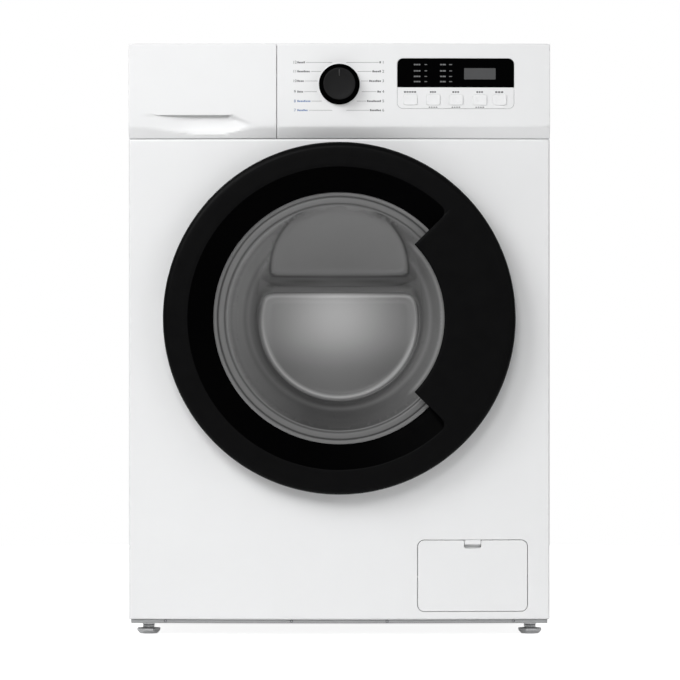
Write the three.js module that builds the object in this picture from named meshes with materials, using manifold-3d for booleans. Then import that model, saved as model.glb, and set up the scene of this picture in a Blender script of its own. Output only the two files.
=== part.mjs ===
// Front load washing machine, as separate pieces. Millimetres, +Z up, +X to the right seen from
// the front, and the front faces -Y. Inside this file y = 0 is the side edge of the front panel,
// and the exported group is moved so that its origin is under the middle of the whole machine.
import * as THREE from "three";
import { mergeVertices } from "three/addons/utils/BufferGeometryUtils.js";
import Module from "manifold-3d";

const wasm = await Module();
wasm.setup();

// ---------------------------------------------------------------- driving dimensions
const WIDTH = 600;
const HEIGHT = 845;
const CABINET_BACK = 495;
const BOW = 10; // how far the middle of the front stands proud of its side edges
const GAP = 0.3; // between pieces that touch
const HALF = WIDTH / 2;
const SHEET = 1.2;
const ROUND = 40; // sides of the large turned pieces
const COARSE = 32; // and of those inside the cabinet

const BASE_Z = 17.5;
const PANEL_Z = 23;
const SEAM_Z = 708;
const CHAMFER_Z = 725;
const FASCIA_TOP = 843;
const FASCIA_FRONT = -10; // before the bow is added
const FASCIA_BACK = 16;
const WORKTOP_Z = 825;

const DOOR_Z = 452.5;
const DOOR_R = 250;
const DOOR_FRONT = -46;
const DOOR_BACK = -14;
const RIM_INNER_R = 215.7;
const GLASS_EDGE_R = 179;
const DISH_R = 226;
const DISH_FLOOR = 14;
const PORTHOLE_R = 170;

const TUB_R = 270;
const TUB_FRONT = 65;
const TUB_SPLIT = 240;
const TUB_BACK = 430;
const DRUM_R = 240;
const DRUM_FRONT = 85;
const DRUM_BACK = 391;
const SHAFT_R = 17.5;
const PULLEY_R = 140;
const PULLEY_Y = 450;
const PULLEY_WIDTH = 14;
const MOTOR = { x: -40, z: 115, r: 56, front: 290, back: 412 };
const MOTOR_PULLEY_R = 10;
const BELT_THICK = 4;

const DRAWER_EDGE_X = -89;
const KNOB = { x: 0, z: 785, skirtR: 29, faceR: 23.5, front: -38 };
const INSERT = { x0: 82.6, x1: 248.5, z0: 750.6, split: 780.6, z1: 821.7, r: 8 };
const BUTTONS = { xs: [101, 133.5, 166, 200, 228], z: 763, width: 20, height: 15 };
const FLAP = { x0: 112, x1: 268, z0: 35, z1: 136, r: 9 };
const FOOT = { x: 273.6, front: 45, back: 450, flangeR: 17, stemR: 5, boreR: 5.4 };
const SPRING = { x: 262, y: 262, z0: 600, z1: 715, r: 11 };
const DAMPER = { x: 215, y: 262, rodR: 6, boreR: 6.4, outerR: 14 };
const SUMP = { x: 130, y: 120, r: 20, z0: 122, z1: 166 };
const FILL = { x: -215, y: 150, r: 16, z0: 652, z1: 723 };
const PUMP = { x: 188, z: 85 };
const HINGE = { x: -236, y: -25 };
const HOOK = { x: 200, y: -2 };
const HEATER = { x: 80, z: 215 };

// ---------------------------------------------------------------- finishes
const finish = (color, roughness, metalness = 0) => ({ color, roughness, metalness });
const FINISH = {
  whitePaint: finish(0xf1f2f3, 0.35),
  whitePlastic: finish(0xf4f5f6, 0.3),
  blackPlastic: finish(0x111113, 0.35),
  darkPlastic: finish(0x08080a, 0.5),
  display: finish(0x050507, 0.08),
  greyPlastic: finish(0x9c9fa3, 0.6),
  glass: finish(0xb9c0c4, 0.05),
  rubber: finish(0x6d7073, 0.8),
  steel: finish(0xc6c8ca, 0.3, 0.9),
  zinc: finish(0xb8babd, 0.35, 0.9),
  aluminium: finish(0xa9abae, 0.5, 0.8),
  concrete: finish(0x8d8b86, 0.9),
  board: finish(0x1f5b3a, 0.6),
  copper: finish(0xa65f3a, 0.4, 0.8),
};

// ---------------------------------------------------------------- solids
// A closed geometry as a manifold solid with its faces pointing out.
function solid(geometry) {
  geometry.deleteAttribute("normal");
  geometry.deleteAttribute("uv");
  const merged = mergeVertices(geometry, 1e-3);
  const build = (triVerts) =>
    new wasm.Manifold(
      new wasm.Mesh({ numProp: 3, vertProperties: merged.attributes.position.array, triVerts }),
    );
  const triVerts = new Uint32Array(merged.index.array);
  const made = build(triVerts);
  return made.volume() < 0 ? build(triVerts.reverse()) : made;
}

function toGeometry(made) {
  const mesh = made.getMesh();
  const geometry = new THREE.BufferGeometry();
  geometry.setAttribute("position", new THREE.BufferAttribute(new Float32Array(mesh.vertProperties), 3));
  geometry.setIndex(new THREE.BufferAttribute(new Uint32Array(mesh.triVerts), 1));
  const flat = geometry.toNonIndexed();
  flat.computeVertexNormals();
  return flat;
}

const join = (first, ...rest) => rest.reduce((sum, next) => sum.add(next), first);
const cut = (first, ...rest) => rest.reduce((sum, next) => sum.subtract(next), first);

function box(x0, x1, y0, y1, z0, z1) {
  const geometry = new THREE.BoxGeometry(x1 - x0, y1 - y0, z1 - z0);
  geometry.translate((x0 + x1) / 2, (y0 + y1) / 2, (z0 + z1) / 2);
  return solid(geometry);
}

// Round bars along each axis: centre in the other two coordinates, radius, then start and end.
function barY(x, z, r, y0, y1, sides = 16) {
  const geometry = new THREE.CylinderGeometry(r, r, y1 - y0, sides);
  geometry.translate(x, (y0 + y1) / 2, z);
  return solid(geometry);
}

function barZ(x, y, r, z0, z1, sides = 16) {
  const geometry = new THREE.CylinderGeometry(r, r, z1 - z0, sides);
  geometry.rotateX(Math.PI / 2);
  geometry.translate(x, y, (z0 + z1) / 2);
  return solid(geometry);
}

function barX(y, z, r, x0, x1, sides = 16) {
  const geometry = new THREE.CylinderGeometry(r, r, x1 - x0, sides);
  geometry.rotateZ(-Math.PI / 2);
  geometry.translate((x0 + x1) / 2, y, z);
  return solid(geometry);
}

// A profile of [radius, y] points, turned about the line x = cx, z = cz.
function turned(profile, cx, cz, sides = ROUND) {
  const points = profile.map(([r, y]) => new THREE.Vector2(r, y));
  const geometry = new THREE.LatheGeometry(points, sides);
  geometry.translate(cx, 0, cz);
  return solid(geometry);
}

// A closed ring profile: the last point joins the first.
const ring = (profile, cx, cz, sides) => turned([...profile, profile[0]], cx, cz, sides);

function outline(points) {
  return new THREE.Shape(points.map(([a, b]) => new THREE.Vector2(a, b)));
}

function roundedOutline(x0, x1, z0, z1, r) {
  const shape = new THREE.Shape();
  shape.moveTo(x0 + r, z0);
  shape.lineTo(x1 - r, z0);
  shape.absarc(x1 - r, z0 + r, r, -Math.PI / 2, 0);
  shape.lineTo(x1, z1 - r);
  shape.absarc(x1 - r, z1 - r, r, 0, Math.PI / 2);
  shape.lineTo(x0 + r, z1);
  shape.absarc(x0 + r, z1 - r, r, Math.PI / 2, Math.PI);
  shape.lineTo(x0, z0 + r);
  shape.absarc(x0 + r, z0 + r, r, Math.PI, Math.PI * 1.5);
  return shape;
}

// An outline in (x, z), from y0 back to y1.
function plate(shape, y0, y1, curveSegments = 3) {
  const geometry = new THREE.ExtrudeGeometry(shape, { depth: y1 - y0, bevelEnabled: false, curveSegments });
  geometry.rotateX(Math.PI / 2);
  geometry.translate(0, y1, 0);
  return solid(geometry);
}

// An outline in (x, y), from z0 up to z1.
function slab(shape, z0, z1, curveSegments = 3) {
  const geometry = new THREE.ExtrudeGeometry(shape, { depth: z1 - z0, bevelEnabled: false, curveSegments });
  geometry.translate(0, 0, z0);
  return solid(geometry);
}

const bowAt = (x) => -BOW * (1 - (x / HALF) ** 2);

// An outline in (y, z) swept straight from x0 to x1, with y moved by shift(x).
function across(points, x0, x1, steps = 1, shift = () => 0) {
  const settings = { depth: x1 - x0, steps, bevelEnabled: false };
  const geometry = new THREE.ExtrudeGeometry(outline(points), settings);
  const turn = new THREE.Matrix4().makeBasis(
    new THREE.Vector3(0, 1, 0),
    new THREE.Vector3(0, 0, 1),
    new THREE.Vector3(1, 0, 0),
  );
  geometry.applyMatrix4(turn);
  geometry.translate(x0, 0, 0);
  const position = geometry.attributes.position;
  for (let i = 0; i < position.count; i += 1) {
    position.setY(i, position.getY(i) + shift(position.getX(i)));
  }
  return solid(geometry);
}

// The same, following the bow of the front.
const bowed = (points, x0, x1) =>
  across(points, x0, x1, Math.max(2, Math.ceil((x1 - x0) / 40)), bowAt);

const bowedBox = (x0, x1, y0, y1, z0, z1) =>
  bowed([[y0, z0], [y1, z0], [y1, z1], [y0, z1]], x0, x1);

// A hose through a list of [x, y, z] points.
function hose(points, r, steps, sides = 10) {
  const path = new THREE.CatmullRomCurve3(points.map((p) => new THREE.Vector3(...p)));
  const section = new THREE.Shape();
  section.absarc(0, 0, r, 0, Math.PI * 2);
  const settings = { steps, extrudePath: path, bevelEnabled: false, curveSegments: sides / 2 };
  return solid(new THREE.ExtrudeGeometry(section, settings));
}

// ---------------------------------------------------------------- the scene graph
const group = new THREE.Group();

function add(name, made, look) {
  const mesh = new THREE.Mesh(toGeometry(made), new THREE.MeshStandardMaterial(look));
  mesh.name = name;
  group.add(mesh);
}

// ---------------------------------------------------------------- cabinet
const BEHIND_FRONT = FASCIA_BACK + 2 * GAP;
const SERVICE_HOLE = { x: 185, z0: 140, z1: 630, r: 25 };
const VALVE = { x: -200, z: 770 };
const DRAIN_EXIT = { x: 268, z: 672 };
const HOOK_SLOT = { x0: 188, x1: 214, halfHeight: 14 };
const tubBore = () => barY(0, DOOR_Z, TUB_R - 6, TUB_FRONT, TUB_BACK, COARSE);

function cabinetShell() {
  const top = WORKTOP_Z - GAP;
  const outer = box(-HALF, HALF, BEHIND_FRONT, CABINET_BACK, PANEL_Z, top);
  const inside = HALF - SHEET;
  const inner = box(-inside, inside, 0, CABINET_BACK - SHEET, 0, HEIGHT);
  const service = SERVICE_HOLE;
  const hole = roundedOutline(-service.x, service.x, service.z0, service.z1, service.r);
  const gland = { x: -240, z: 660, r: 11, boreR: 4 };
  const back = CABINET_BACK - SHEET;
  let shell = cut(outer, inner);
  for (const side of [-1, 1]) {
    const [x0, x1] = [side * (inside + 1), side * (inside - 16)].sort((a, b) => a - b);
    shell = join(shell, box(x0, x1, BEHIND_FRONT, BEHIND_FRONT + SHEET, PANEL_Z, SEAM_Z));
    const [b0, b1] = [side * (inside + 1), side * (SPRING.x - 12)].sort((a, b) => a - b);
    const bracketZ = SPRING.z1 + 2;
    shell = join(shell, box(b0, b1, SPRING.y - 10, SPRING.y + 10, bracketZ, bracketZ + 12));
  }
  shell = join(shell, barY(gland.x, gland.z, gland.r, back, CABINET_BACK + 8));
  return cut(
    shell,
    plate(hole, back - 1, CABINET_BACK + 1),
    barY(VALVE.x, VALVE.z, 15, back - 1, CABINET_BACK + 1),
    barY(DRAIN_EXIT.x, DRAIN_EXIT.z, 13, back - 1, CABINET_BACK + 1),
    barY(gland.x, gland.z, gland.boreR, back - 1, CABINET_BACK + 9),
  );
}

function frontPanel() {
  const top = SEAM_Z - GAP;
  const skin = bowedBox(-HALF, HALF, 0, SHEET, PANEL_Z, top);
  const lower = bowedBox(-HALF, HALF, 0, 14, PANEL_Z, PANEL_Z + SHEET);
  const upper = bowedBox(-HALF, HALF, 0, 14, top - SHEET, top);
  const sides = [-1, 1].map((side) => {
    const [x0, x1] = [side * HALF, side * (HALF - SHEET)].sort((a, b) => a - b);
    return box(x0, x1, 0.5, FASCIA_BACK, PANEL_Z, top);
  });
  const dish = ring(
    [
      [DISH_R + 2, -BOW - 2],
      [DISH_R, -BOW - 2],
      [DISH_R - 7, DISH_FLOOR],
      [PORTHOLE_R, DISH_FLOOR],
      [PORTHOLE_R, DISH_FLOOR + 12],
      [PORTHOLE_R + 2, DISH_FLOOR + 12],
      [PORTHOLE_R + 2, DISH_FLOOR + SHEET],
      [DISH_R - 5, DISH_FLOOR + SHEET],
    ],
    0,
    DOOR_Z,
  );
  const proud = bowedBox(-HALF, HALF, -3 * BOW, 0, PANEL_Z, top);
  const opening = barY(0, DOOR_Z, DISH_R + 1, -2 * BOW, 15, ROUND);
  const flapGap = 0.8;
  const flapHole = roundedOutline(
    FLAP.x0 - flapGap,
    FLAP.x1 + flapGap,
    FLAP.z0 - flapGap,
    FLAP.z1 + flapGap,
    FLAP.r + flapGap,
  );
  const slot = HOOK_SLOT;
  const slotLow = DOOR_Z - slot.halfHeight;
  const slotHigh = DOOR_Z + slot.halfHeight;
  return cut(
    join(cut(join(skin, lower, upper, ...sides), opening), cut(dish, proud)),
    plate(flapHole, -3 * BOW, 8),
    box(slot.x0, slot.x1, DISH_FLOOR - 2, DISH_FLOOR + 4, slotLow, slotHigh),
  );
}

function rearCover() {
  const y = CABINET_BACK + GAP;
  const edge = 10;
  const shape = roundedOutline(
    -SERVICE_HOLE.x - edge,
    SERVICE_HOLE.x + edge,
    SERVICE_HOLE.z0 - edge,
    SERVICE_HOLE.z1 + edge,
    SERVICE_HOLE.r + edge,
  );
  const domeZ = DOOR_Z;
  const dome = turned(
    [[0, y + 7.7], [146, y + 7.7], [160, y], [164, y], [164, y + SHEET], [149, y + 9.7], [0, y + 9.7]],
    0,
    domeZ,
  );
  return join(cut(plate(shape, y, y + SHEET), barY(0, domeZ, 161, y - 1, y + 3, ROUND)), dome);
}

function baseTray() {
  const edge = HALF - 3;
  const flangeTop = PANEL_Z - GAP;
  const steps = 12;
  const front = Array.from({ length: steps + 1 }, (_, i) => {
    const x = -edge + (2 * edge * i) / steps;
    return [x, bowAt(x) + 4];
  });
  const back = CABINET_BACK - 3;
  const flange = slab(outline([...front, [edge, back], [-edge, back]]), BASE_Z, flangeTop);
  const wallTop = 50;
  const wallX = HALF - 7;
  const wallFront = 24;
  const wallBack = CABINET_BACK - 7;
  const walls = box(-wallX, wallX, wallFront, wallBack, BASE_Z + 1, wallTop);
  const hollow = box(-wallX + 3, wallX - 3, wallFront + 3, wallBack - 3, BASE_Z + 3, wallTop + 1);
  let tray = cut(join(flange, walls), hollow);
  for (const side of [-1, 1]) {
    const x = side * DAMPER.x;
    tray = join(tray, box(x - 12, x + 12, DAMPER.y - 10, DAMPER.y + 10, BASE_Z + 1, 39.7));
    for (const y of [FOOT.front, FOOT.back]) {
      tray = join(tray, barZ(side * FOOT.x, y, 12, BASE_Z + 1, 60));
      tray = cut(tray, barZ(side * FOOT.x, y, FOOT.boreR, BASE_Z - 1, 61, 16));
    }
  }
  return tray;
}

function worktop() {
  const shape = roundedOutline(-HALF + 2, HALF - 2, FASCIA_BACK + GAP, CABINET_BACK + 2, 6);
  return slab(shape, WORKTOP_Z, HEIGHT, 3);
}

// ---------------------------------------------------------------- control band and drawer
const FASCIA_Z = SEAM_Z + GAP;
const WALL = 2.5;
const insertPlate = () =>
  plate(roundedOutline(INSERT.x0, INSERT.x1, INSERT.z0, INSERT.z1, INSERT.r), -40, 0);

// The part of the front between depths y0 and y1 that the insert takes up, from z0 to z1.
const insertLayer = (y0, y1, z0 = INSERT.z0 - 2, z1 = INSERT.z1 + 2) =>
  bowedBox(INSERT.x0 - 2, INSERT.x1 + 2, y0, y1, z0, z1);

function controlFascia() {
  const profile = [
    [FASCIA_FRONT, FASCIA_TOP],
    [40, FASCIA_TOP],
    [40, FASCIA_Z],
    [0, FASCIA_Z],
    [FASCIA_FRONT, CHAMFER_Z],
  ];
  const hollow = [
    [FASCIA_FRONT + WALL, FASCIA_TOP - WALL],
    [50, FASCIA_TOP - WALL],
    [50, FASCIA_Z + WALL],
    [WALL - 0.5, FASCIA_Z + WALL],
    [FASCIA_FRONT + WALL, CHAMFER_Z + 1.5],
  ];
  const recess = [[-40, HEIGHT + 5], [4, HEIGHT + 5], [4, SEAM_Z - 8], [-40, SEAM_Z - 8]];
  const edge = DRAWER_EDGE_X + GAP;
  const shell = cut(bowed(profile, -HALF, HALF), bowed(hollow, -HALF + WALL, HALF - WALL));
  const opened = cut(shell, bowed(recess, -HALF - 1, edge));
  const pocketShape = roundedOutline(
    INSERT.x0 - GAP,
    INSERT.x1 + GAP,
    INSERT.z0 - GAP,
    INSERT.z1 + GAP,
    INSERT.r + GAP,
  );
  const pocket = plate(pocketShape, -40, 0).intersect(insertLayer(FASCIA_FRONT - 5, FASCIA_FRONT + 1.5));
  const through = roundedOutline(INSERT.x0 + 6, INSERT.x1 - 6, INSERT.z0 + 4, INSERT.z1 - 6, 4);
  return cut(
    join(opened, bowed(profile, edge, edge + WALL)),
    box(-HALF - 1, HALF + 1, FASCIA_BACK, 60, SEAM_Z - 5, HEIGHT + 5),
    pocket,
    plate(through, -40, -4),
    barY(KNOB.x, KNOB.z, 5, -30, 0),
  );
}

function displayLens() {
  return insertPlate().intersect(insertLayer(-10.6, -8.9, INSERT.split + GAP));
}

function buttonPanel() {
  const layer = insertLayer(-10.4, -8.9, INSERT.z0 - 2, INSERT.split);
  const holes = BUTTONS.xs.map((x) => plate(buttonOutline(x, 0.5), -40, 0, 2));
  return cut(insertPlate().intersect(layer), ...holes);
}

function buttonOutline(x, grow) {
  const halfWidth = BUTTONS.width / 2 + grow;
  const halfHeight = BUTTONS.height / 2 + grow;
  const [low, high] = [BUTTONS.z - halfHeight, BUTTONS.z + halfHeight];
  return roundedOutline(x - halfWidth, x + halfWidth, low, high, 3 + grow);
}

const button = (x) => plate(buttonOutline(x, 0), bowAt(x) - 11.4, bowAt(x) - 1, 2);

function controlBoard() {
  const board = box(-45, 256, -2, -0.4, 748, 822);
  const encoder = barY(KNOB.x, KNOB.z, 10, -8, -1, 16);
  const module = box(176, 224, -9, -1, 785, 815);
  return join(board, encoder, module, box(60, 72, -10, -1, 765, 790));
}

function programKnob() {
  const base = FASCIA_FRONT - BOW - 0.8;
  const stem = { r: 3, back: -8.3 };
  const profile = [
    [0, KNOB.front],
    [KNOB.faceR, KNOB.front],
    [KNOB.skirtR, base - 3],
    [KNOB.skirtR, base],
    [stem.r, base],
    [stem.r, stem.back],
    [0, stem.back],
  ];
  const body = turned(profile, KNOB.x, KNOB.z, 32);
  return cut(body, box(KNOB.x - 1, KNOB.x + 1, KNOB.front - 1, KNOB.front + 0.6, KNOB.z + 10, KNOB.z + 21));
}

function drawerFront() {
  const profile = [
    [FASCIA_FRONT, FASCIA_TOP],
    [3, FASCIA_TOP],
    [3, FASCIA_Z],
    [0, FASCIA_Z],
    [FASCIA_FRONT, CHAMFER_Z],
  ];
  const scoop = new THREE.Shape();
  scoop.moveTo(-281, 723.5);
  scoop.lineTo(-266, 741.6);
  scoop.lineTo(-158, 741.6);
  scoop.quadraticCurveTo(-140, 735, -129, 726.6);
  scoop.lineTo(-117, 725);
  scoop.quadraticCurveTo(-140, 715.3, -175, 715.3);
  scoop.quadraticCurveTo(-230, 715, -281, 723.5);
  const scoopDepth = bowedBox(-290, -110, -30, 0, 710, 745);
  const undercut = bowedBox(-262, -162, -5.5, 0, 741, 753);
  return cut(
    join(bowed(profile, -HALF, DRAWER_EDGE_X), box(-268, -112, -6, 5.7, 748, 812)),
    plate(scoop, -40, 4, 6).intersect(scoopDepth),
    undercut,
  );
}

const TRAY = { x0: -277, x1: -103, y0: 6, y1: 236, z0: 742, z1: 815, walls: [-219, -164], wall: 2 };

function drawerTray() {
  const edges = [TRAY.x0, ...TRAY.walls, TRAY.x1];
  const [front, back, floor] = [TRAY.y0 + 4, TRAY.y1 - TRAY.wall, TRAY.z0 + TRAY.wall];
  const pockets = edges.slice(1).map((edge, i) => {
    const right = edge === TRAY.x1 ? edge - TRAY.wall : edge;
    return box(edges[i] + TRAY.wall, right, front, back, floor, TRAY.z1 + 1);
  });
  return cut(box(TRAY.x0, TRAY.x1, TRAY.y0, TRAY.y1, TRAY.z0, TRAY.z1), ...pockets);
}

function dispenserHousing() {
  const [x0, x1, y0, y1, z0, z1] = [-284, -96, BEHIND_FRONT, 330, 733, 822];
  const outer = box(x0, x1, y0, y1, z0, z1);
  const shell = cut(outer, box(x0 + WALL, x1 - WALL, 0, y1 - WALL, z0 + WALL, z1 - WALL));
  const spigot = barZ(FILL.x, FILL.y, FILL.r - 2, FILL.z1 + 1, z0 + 1);
  const nozzle = barY(VALVE.x, 790, 6, y1 - 1, y1 + 15, 16);
  return cut(
    join(shell, spigot, nozzle),
    barZ(FILL.x, FILL.y, FILL.r - 6, FILL.z1, z0 + WALL + 1),
    barY(VALVE.x, 790, 3.5, y1 - WALL - 1, y1 + 16, 16),
  );
}

function inletValve() {
  const body = box(VALVE.x - 14, VALVE.x + 14, 462, 488, 752, 800);
  const thread = barY(VALVE.x, VALVE.z, 13, 487, 515);
  const coil = barZ(VALVE.x, 475, 12, 799, 818, 16);
  const outlet = barY(VALVE.x, 790, 6, 447, 463, 16);
  return cut(join(body, thread, coil, outlet), barY(VALVE.x, VALVE.z, 9, 500, 516));
}

const fillHose = () => hose([[VALVE.x, 446.5, 790], [VALVE.x + 4, 396, 792], [VALVE.x, 345.5, 790]], 8, 8);

function bellows() {
  return cut(
    barZ(FILL.x, FILL.y, FILL.r, FILL.z0, FILL.z1, 16),
    barZ(FILL.x, FILL.y, FILL.r - 3, FILL.z0 - 1, FILL.z1 + 1, 16),
  );
}

// ---------------------------------------------------------------- door
const GLASS = { flangeR: 181, front: -22, back: -17, rootR: 160, noseR: 105, nose: 110, wall: 5 };
const HANDLE = { innerR: 151, halfAngle: THREE.MathUtils.degToRad(44.5), thick: 4 };

// The upper part of the bowl is sliced off by a slope that runs from its root to its nose.
function glassSlope(drop) {
  const rise = 0.803;
  const start = { y: GLASS.back - 15, z: DOOR_Z + 158 + 15 * rise - drop };
  const end = { y: 130, z: DOOR_Z + 158 - (130 - GLASS.back) * rise - drop };
  const points = [[start.y, start.z], [end.y, end.z], [end.y, DOOR_Z + 220], [start.y, DOOR_Z + 220]];
  return across(points, -200, 200);
}

function doorGlass() {
  const g = GLASS;
  const outerProfile = [
    [0, g.back - 1],
    [g.rootR, g.back - 1],
    [g.rootR, g.back],
    [g.noseR + 7, g.nose - 7],
    [g.noseR, g.nose],
    [0, g.nose],
  ];
  const innerProfile = [
    [0, -40],
    [g.rootR - 4, -40],
    [g.rootR - 5, g.back],
    [g.noseR + 2, g.nose - 9],
    [g.noseR - 3, g.nose - g.wall],
    [0, g.nose - g.wall],
  ];
  const outer = turned(outerProfile, 0, DOOR_Z);
  const inner = turned(innerProfile, 0, DOOR_Z);
  const flange = turned([[0, g.front], [g.flangeR, g.front], [g.flangeR, g.back], [0, g.back]], 0, DOOR_Z);
  const wallDrop = 6.4;
  const front = across([[-60, 0], [g.front + 0.1, 0], [g.front + 0.1, HEIGHT], [-60, HEIGHT]], -200, 200);
  const bowl = join(cut(outer, glassSlope(0)), flange);
  const mouth = turned([[0, -40], [g.rootR - 5, -40], [g.rootR - 5, g.back], [0, g.back]], 0, DOOR_Z);
  return cut(bowl, cut(inner, glassSlope(wallDrop)), cut(mouth, glassSlope(wallDrop)), front);
}

function doorRing() {
  const shell = ring(
    [
      [DOOR_R, DOOR_BACK],
      [DOOR_R, -38],
      [DOOR_R - 2.4, -43.6],
      [DOOR_R - 8, DOOR_FRONT],
      [RIM_INNER_R, DOOR_FRONT],
      [GLASS_EDGE_R, -26],
      [GLASS_EDGE_R, GLASS.front - GAP],
      [GLASS_EDGE_R + 5, GLASS.front - GAP],
      [GLASS_EDGE_R + 5, -25],
      [RIM_INNER_R + 1.3, -43],
      [DOOR_R - 9, -43],
      [DOOR_R - 4.5, -41],
      [DOOR_R - 3, -37.5],
      [DOOR_R - 3, DOOR_BACK],
    ],
    0,
    DOOR_Z,
  );
  const sector = new THREE.Shape();
  sector.absarc(0, DOOR_Z, RIM_INNER_R + 3, -HANDLE.halfAngle, HANDLE.halfAngle);
  sector.absarc(0, DOOR_Z, HANDLE.innerR, HANDLE.halfAngle, -HANDLE.halfAngle, true);
  const handle = plate(sector, DOOR_FRONT, DOOR_FRONT + HANDLE.thick, 10);
  const hingeNotch = box(-260, -215, -38, DOOR_BACK + 4, DOOR_Z - 30, DOOR_Z + 30);
  return cut(join(shell, handle), hingeNotch);
}

function doorInnerFrame() {
  const seat = GLASS.back + 0.4;
  const frame = ring(
    [
      [163.5, seat],
      [GLASS.flangeR + 2, seat],
      [DISH_R - 12, DOOR_BACK + GAP],
      [DISH_R - 12, 2],
      [DISH_R - 19, 8],
      [172, 8],
      [163.5, 0],
    ],
    0,
    DOOR_Z,
  );
  return cut(frame, box(HOOK.x - 8, HOOK.x + 10, -20, 10, DOOR_Z - 10, DOOR_Z + 10));
}

function hingeArm() {
  const knuckle = barZ(HINGE.x, HINGE.y, 6.5, DOOR_Z - 13, DOOR_Z + 13);
  const neck = box(HINGE.x, HINGE.x + 14, -28, -20, DOOR_Z - 12, DOOR_Z + 12);
  const leaf = box(HINGE.x + 12, -200, -27, -19, DOOR_Z - 20, DOOR_Z + 20);
  return cut(join(knuckle, neck, leaf), barZ(HINGE.x, HINGE.y, 3.3, DOOR_Z - 20, DOOR_Z + 20));
}

function hingeBracket() {
  const base = box(HINGE.x - 7, HINGE.x + 11, -7, -4.6, DOOR_Z - 27, DOOR_Z + 27);
  const ears = [-22, 14].map((z) =>
    join(
      box(HINGE.x - 6, HINGE.x + 6, HINGE.y, -6, DOOR_Z + z, DOOR_Z + z + 8),
      barZ(HINGE.x, HINGE.y, 6.5, DOOR_Z + z, DOOR_Z + z + 8),
    ),
  );
  return join(base, ...ears, barZ(HINGE.x, HINGE.y, 3, DOOR_Z - 24, DOOR_Z + 24));
}

function doorHook() {
  const stem = box(HOOK.x - 4, HOOK.x + 4, HOOK.y - 4, 34, DOOR_Z - 8, DOOR_Z + 8);
  return join(stem, box(HOOK.x + 3, HOOK.x + 9, 27, 34, DOOR_Z - 8, DOOR_Z + 8));
}

function doorLock() {
  const slot = HOOK_SLOT;
  const pocket = box(slot.x0 - 2, slot.x1 + 3, 10, 46, DOOR_Z - slot.halfHeight, DOOR_Z + slot.halfHeight);
  return cut(box(178, 228, DISH_FLOOR + 4.5, 56, DOOR_Z - 45, DOOR_Z + 45), pocket);
}

function doorGasket() {
  const profile = [[152, 20], [169, 20], [169, 28], [166, 30], [166, 51], [160, 51], [160, 31], [152, 26]];
  return ring(profile, 0, DOOR_Z, COARSE);
}

const gasketClamp = () => ring([[160, 16.7], [163, 16.7], [163, 19.7], [160, 19.7]], 0, DOOR_Z, COARSE);

// ---------------------------------------------------------------- tub
const BEARING = { innerR: 18, outerR: 35, y0: 416, y1: 444 };

function tubFront() {
  const skin = 8;
  const shell = ring(
    [
      [TUB_R + 6, TUB_SPLIT - GAP],
      [TUB_R + 6, TUB_SPLIT - 8],
      [TUB_R, TUB_SPLIT - 8],
      [TUB_R, TUB_FRONT + 12],
      [TUB_R - 12, TUB_FRONT],
      [172, TUB_FRONT],
      [172, TUB_FRONT - 11],
      [168, TUB_FRONT - 11],
      [168, TUB_FRONT + 4],
      [TUB_R - 14, TUB_FRONT + 4],
      [TUB_R - skin, TUB_FRONT + 14],
      [TUB_R - skin, TUB_SPLIT - GAP],
    ],
    0,
    DOOR_Z,
    COARSE,
  );
  const sumpSpout = cut(barZ(SUMP.x, SUMP.y, 17, SUMP.z1 + 0.5, 235), tubBore());
  const fillSpout = cut(barZ(FILL.x, FILL.y, 14, 590, FILL.z0 - 0.5), tubBore());
  return cut(
    join(shell, sumpSpout, fillSpout),
    barZ(SUMP.x, SUMP.y, 13, SUMP.z1 - 1, 260),
    barZ(FILL.x, FILL.y, 10, 570, FILL.z0 + 1),
  );
}

function tubRear() {
  const hubR = 50;
  const shell = ring(
    [
      [TUB_R - 8, TUB_SPLIT],
      [TUB_R + 6, TUB_SPLIT],
      [TUB_R + 6, TUB_SPLIT + 8],
      [TUB_R, TUB_SPLIT + 8],
      [TUB_R, TUB_BACK - 12],
      [TUB_R - 12, TUB_BACK],
      [hubR, TUB_BACK],
      [hubR, TUB_BACK + 16],
      [BEARING.outerR + GAP, TUB_BACK + 16],
      [BEARING.outerR + GAP, TUB_BACK - 16],
      [hubR, TUB_BACK - 16],
      [hubR, TUB_BACK - 4],
      [TUB_R - 14, TUB_BACK - 4],
      [TUB_R - 8, TUB_BACK - 10],
    ],
    0,
    DOOR_Z,
    COARSE,
  );
  const lugs = [];
  for (const side of [-1, 1]) {
    const [s0, s1] = [side * 242, side * 274].sort((a, b) => a - b);
    lugs.push(box(s0, s1, SPRING.y - 9, SPRING.y + 9, 560, SPRING.z0 - 2));
    const x = side * DAMPER.x;
    lugs.push(cut(box(x - 12, x + 12, DAMPER.y - 9, DAMPER.y + 9, 270, 300), tubBore()));
  }
  for (const y of [MOTOR.front + 10, MOTOR.back - 32]) {
    lugs.push(cut(box(MOTOR.x - 20, MOTOR.x + 20, y, y + 20, 172.3, 200), tubBore()));
  }
  const heaterHole = box(HEATER.x - 27, HEATER.x + 27, TUB_BACK - 8, TUB_BACK + 2, 203, 228);
  return cut(join(shell, ...lugs), heaterHole);
}

// A concrete ring on the front of the tub, open on the side where the door lock sits.
function counterweight() {
  const block = ring([[185, 36], [187, 34], [258, 34], [262, 38], [262, 63], [185, 63]], 0, DOOR_Z, COARSE);
  const reach = 300;
  const halfAngle = THREE.MathUtils.degToRad(28);
  const corner = [reach * Math.cos(halfAngle), reach * Math.sin(halfAngle)];
  const wedge = [[0, DOOR_Z], [corner[0], DOOR_Z - corner[1]], [corner[0], DOOR_Z + corner[1]]];
  return cut(block, plate(outline(wedge), 30, 70));
}

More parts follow.
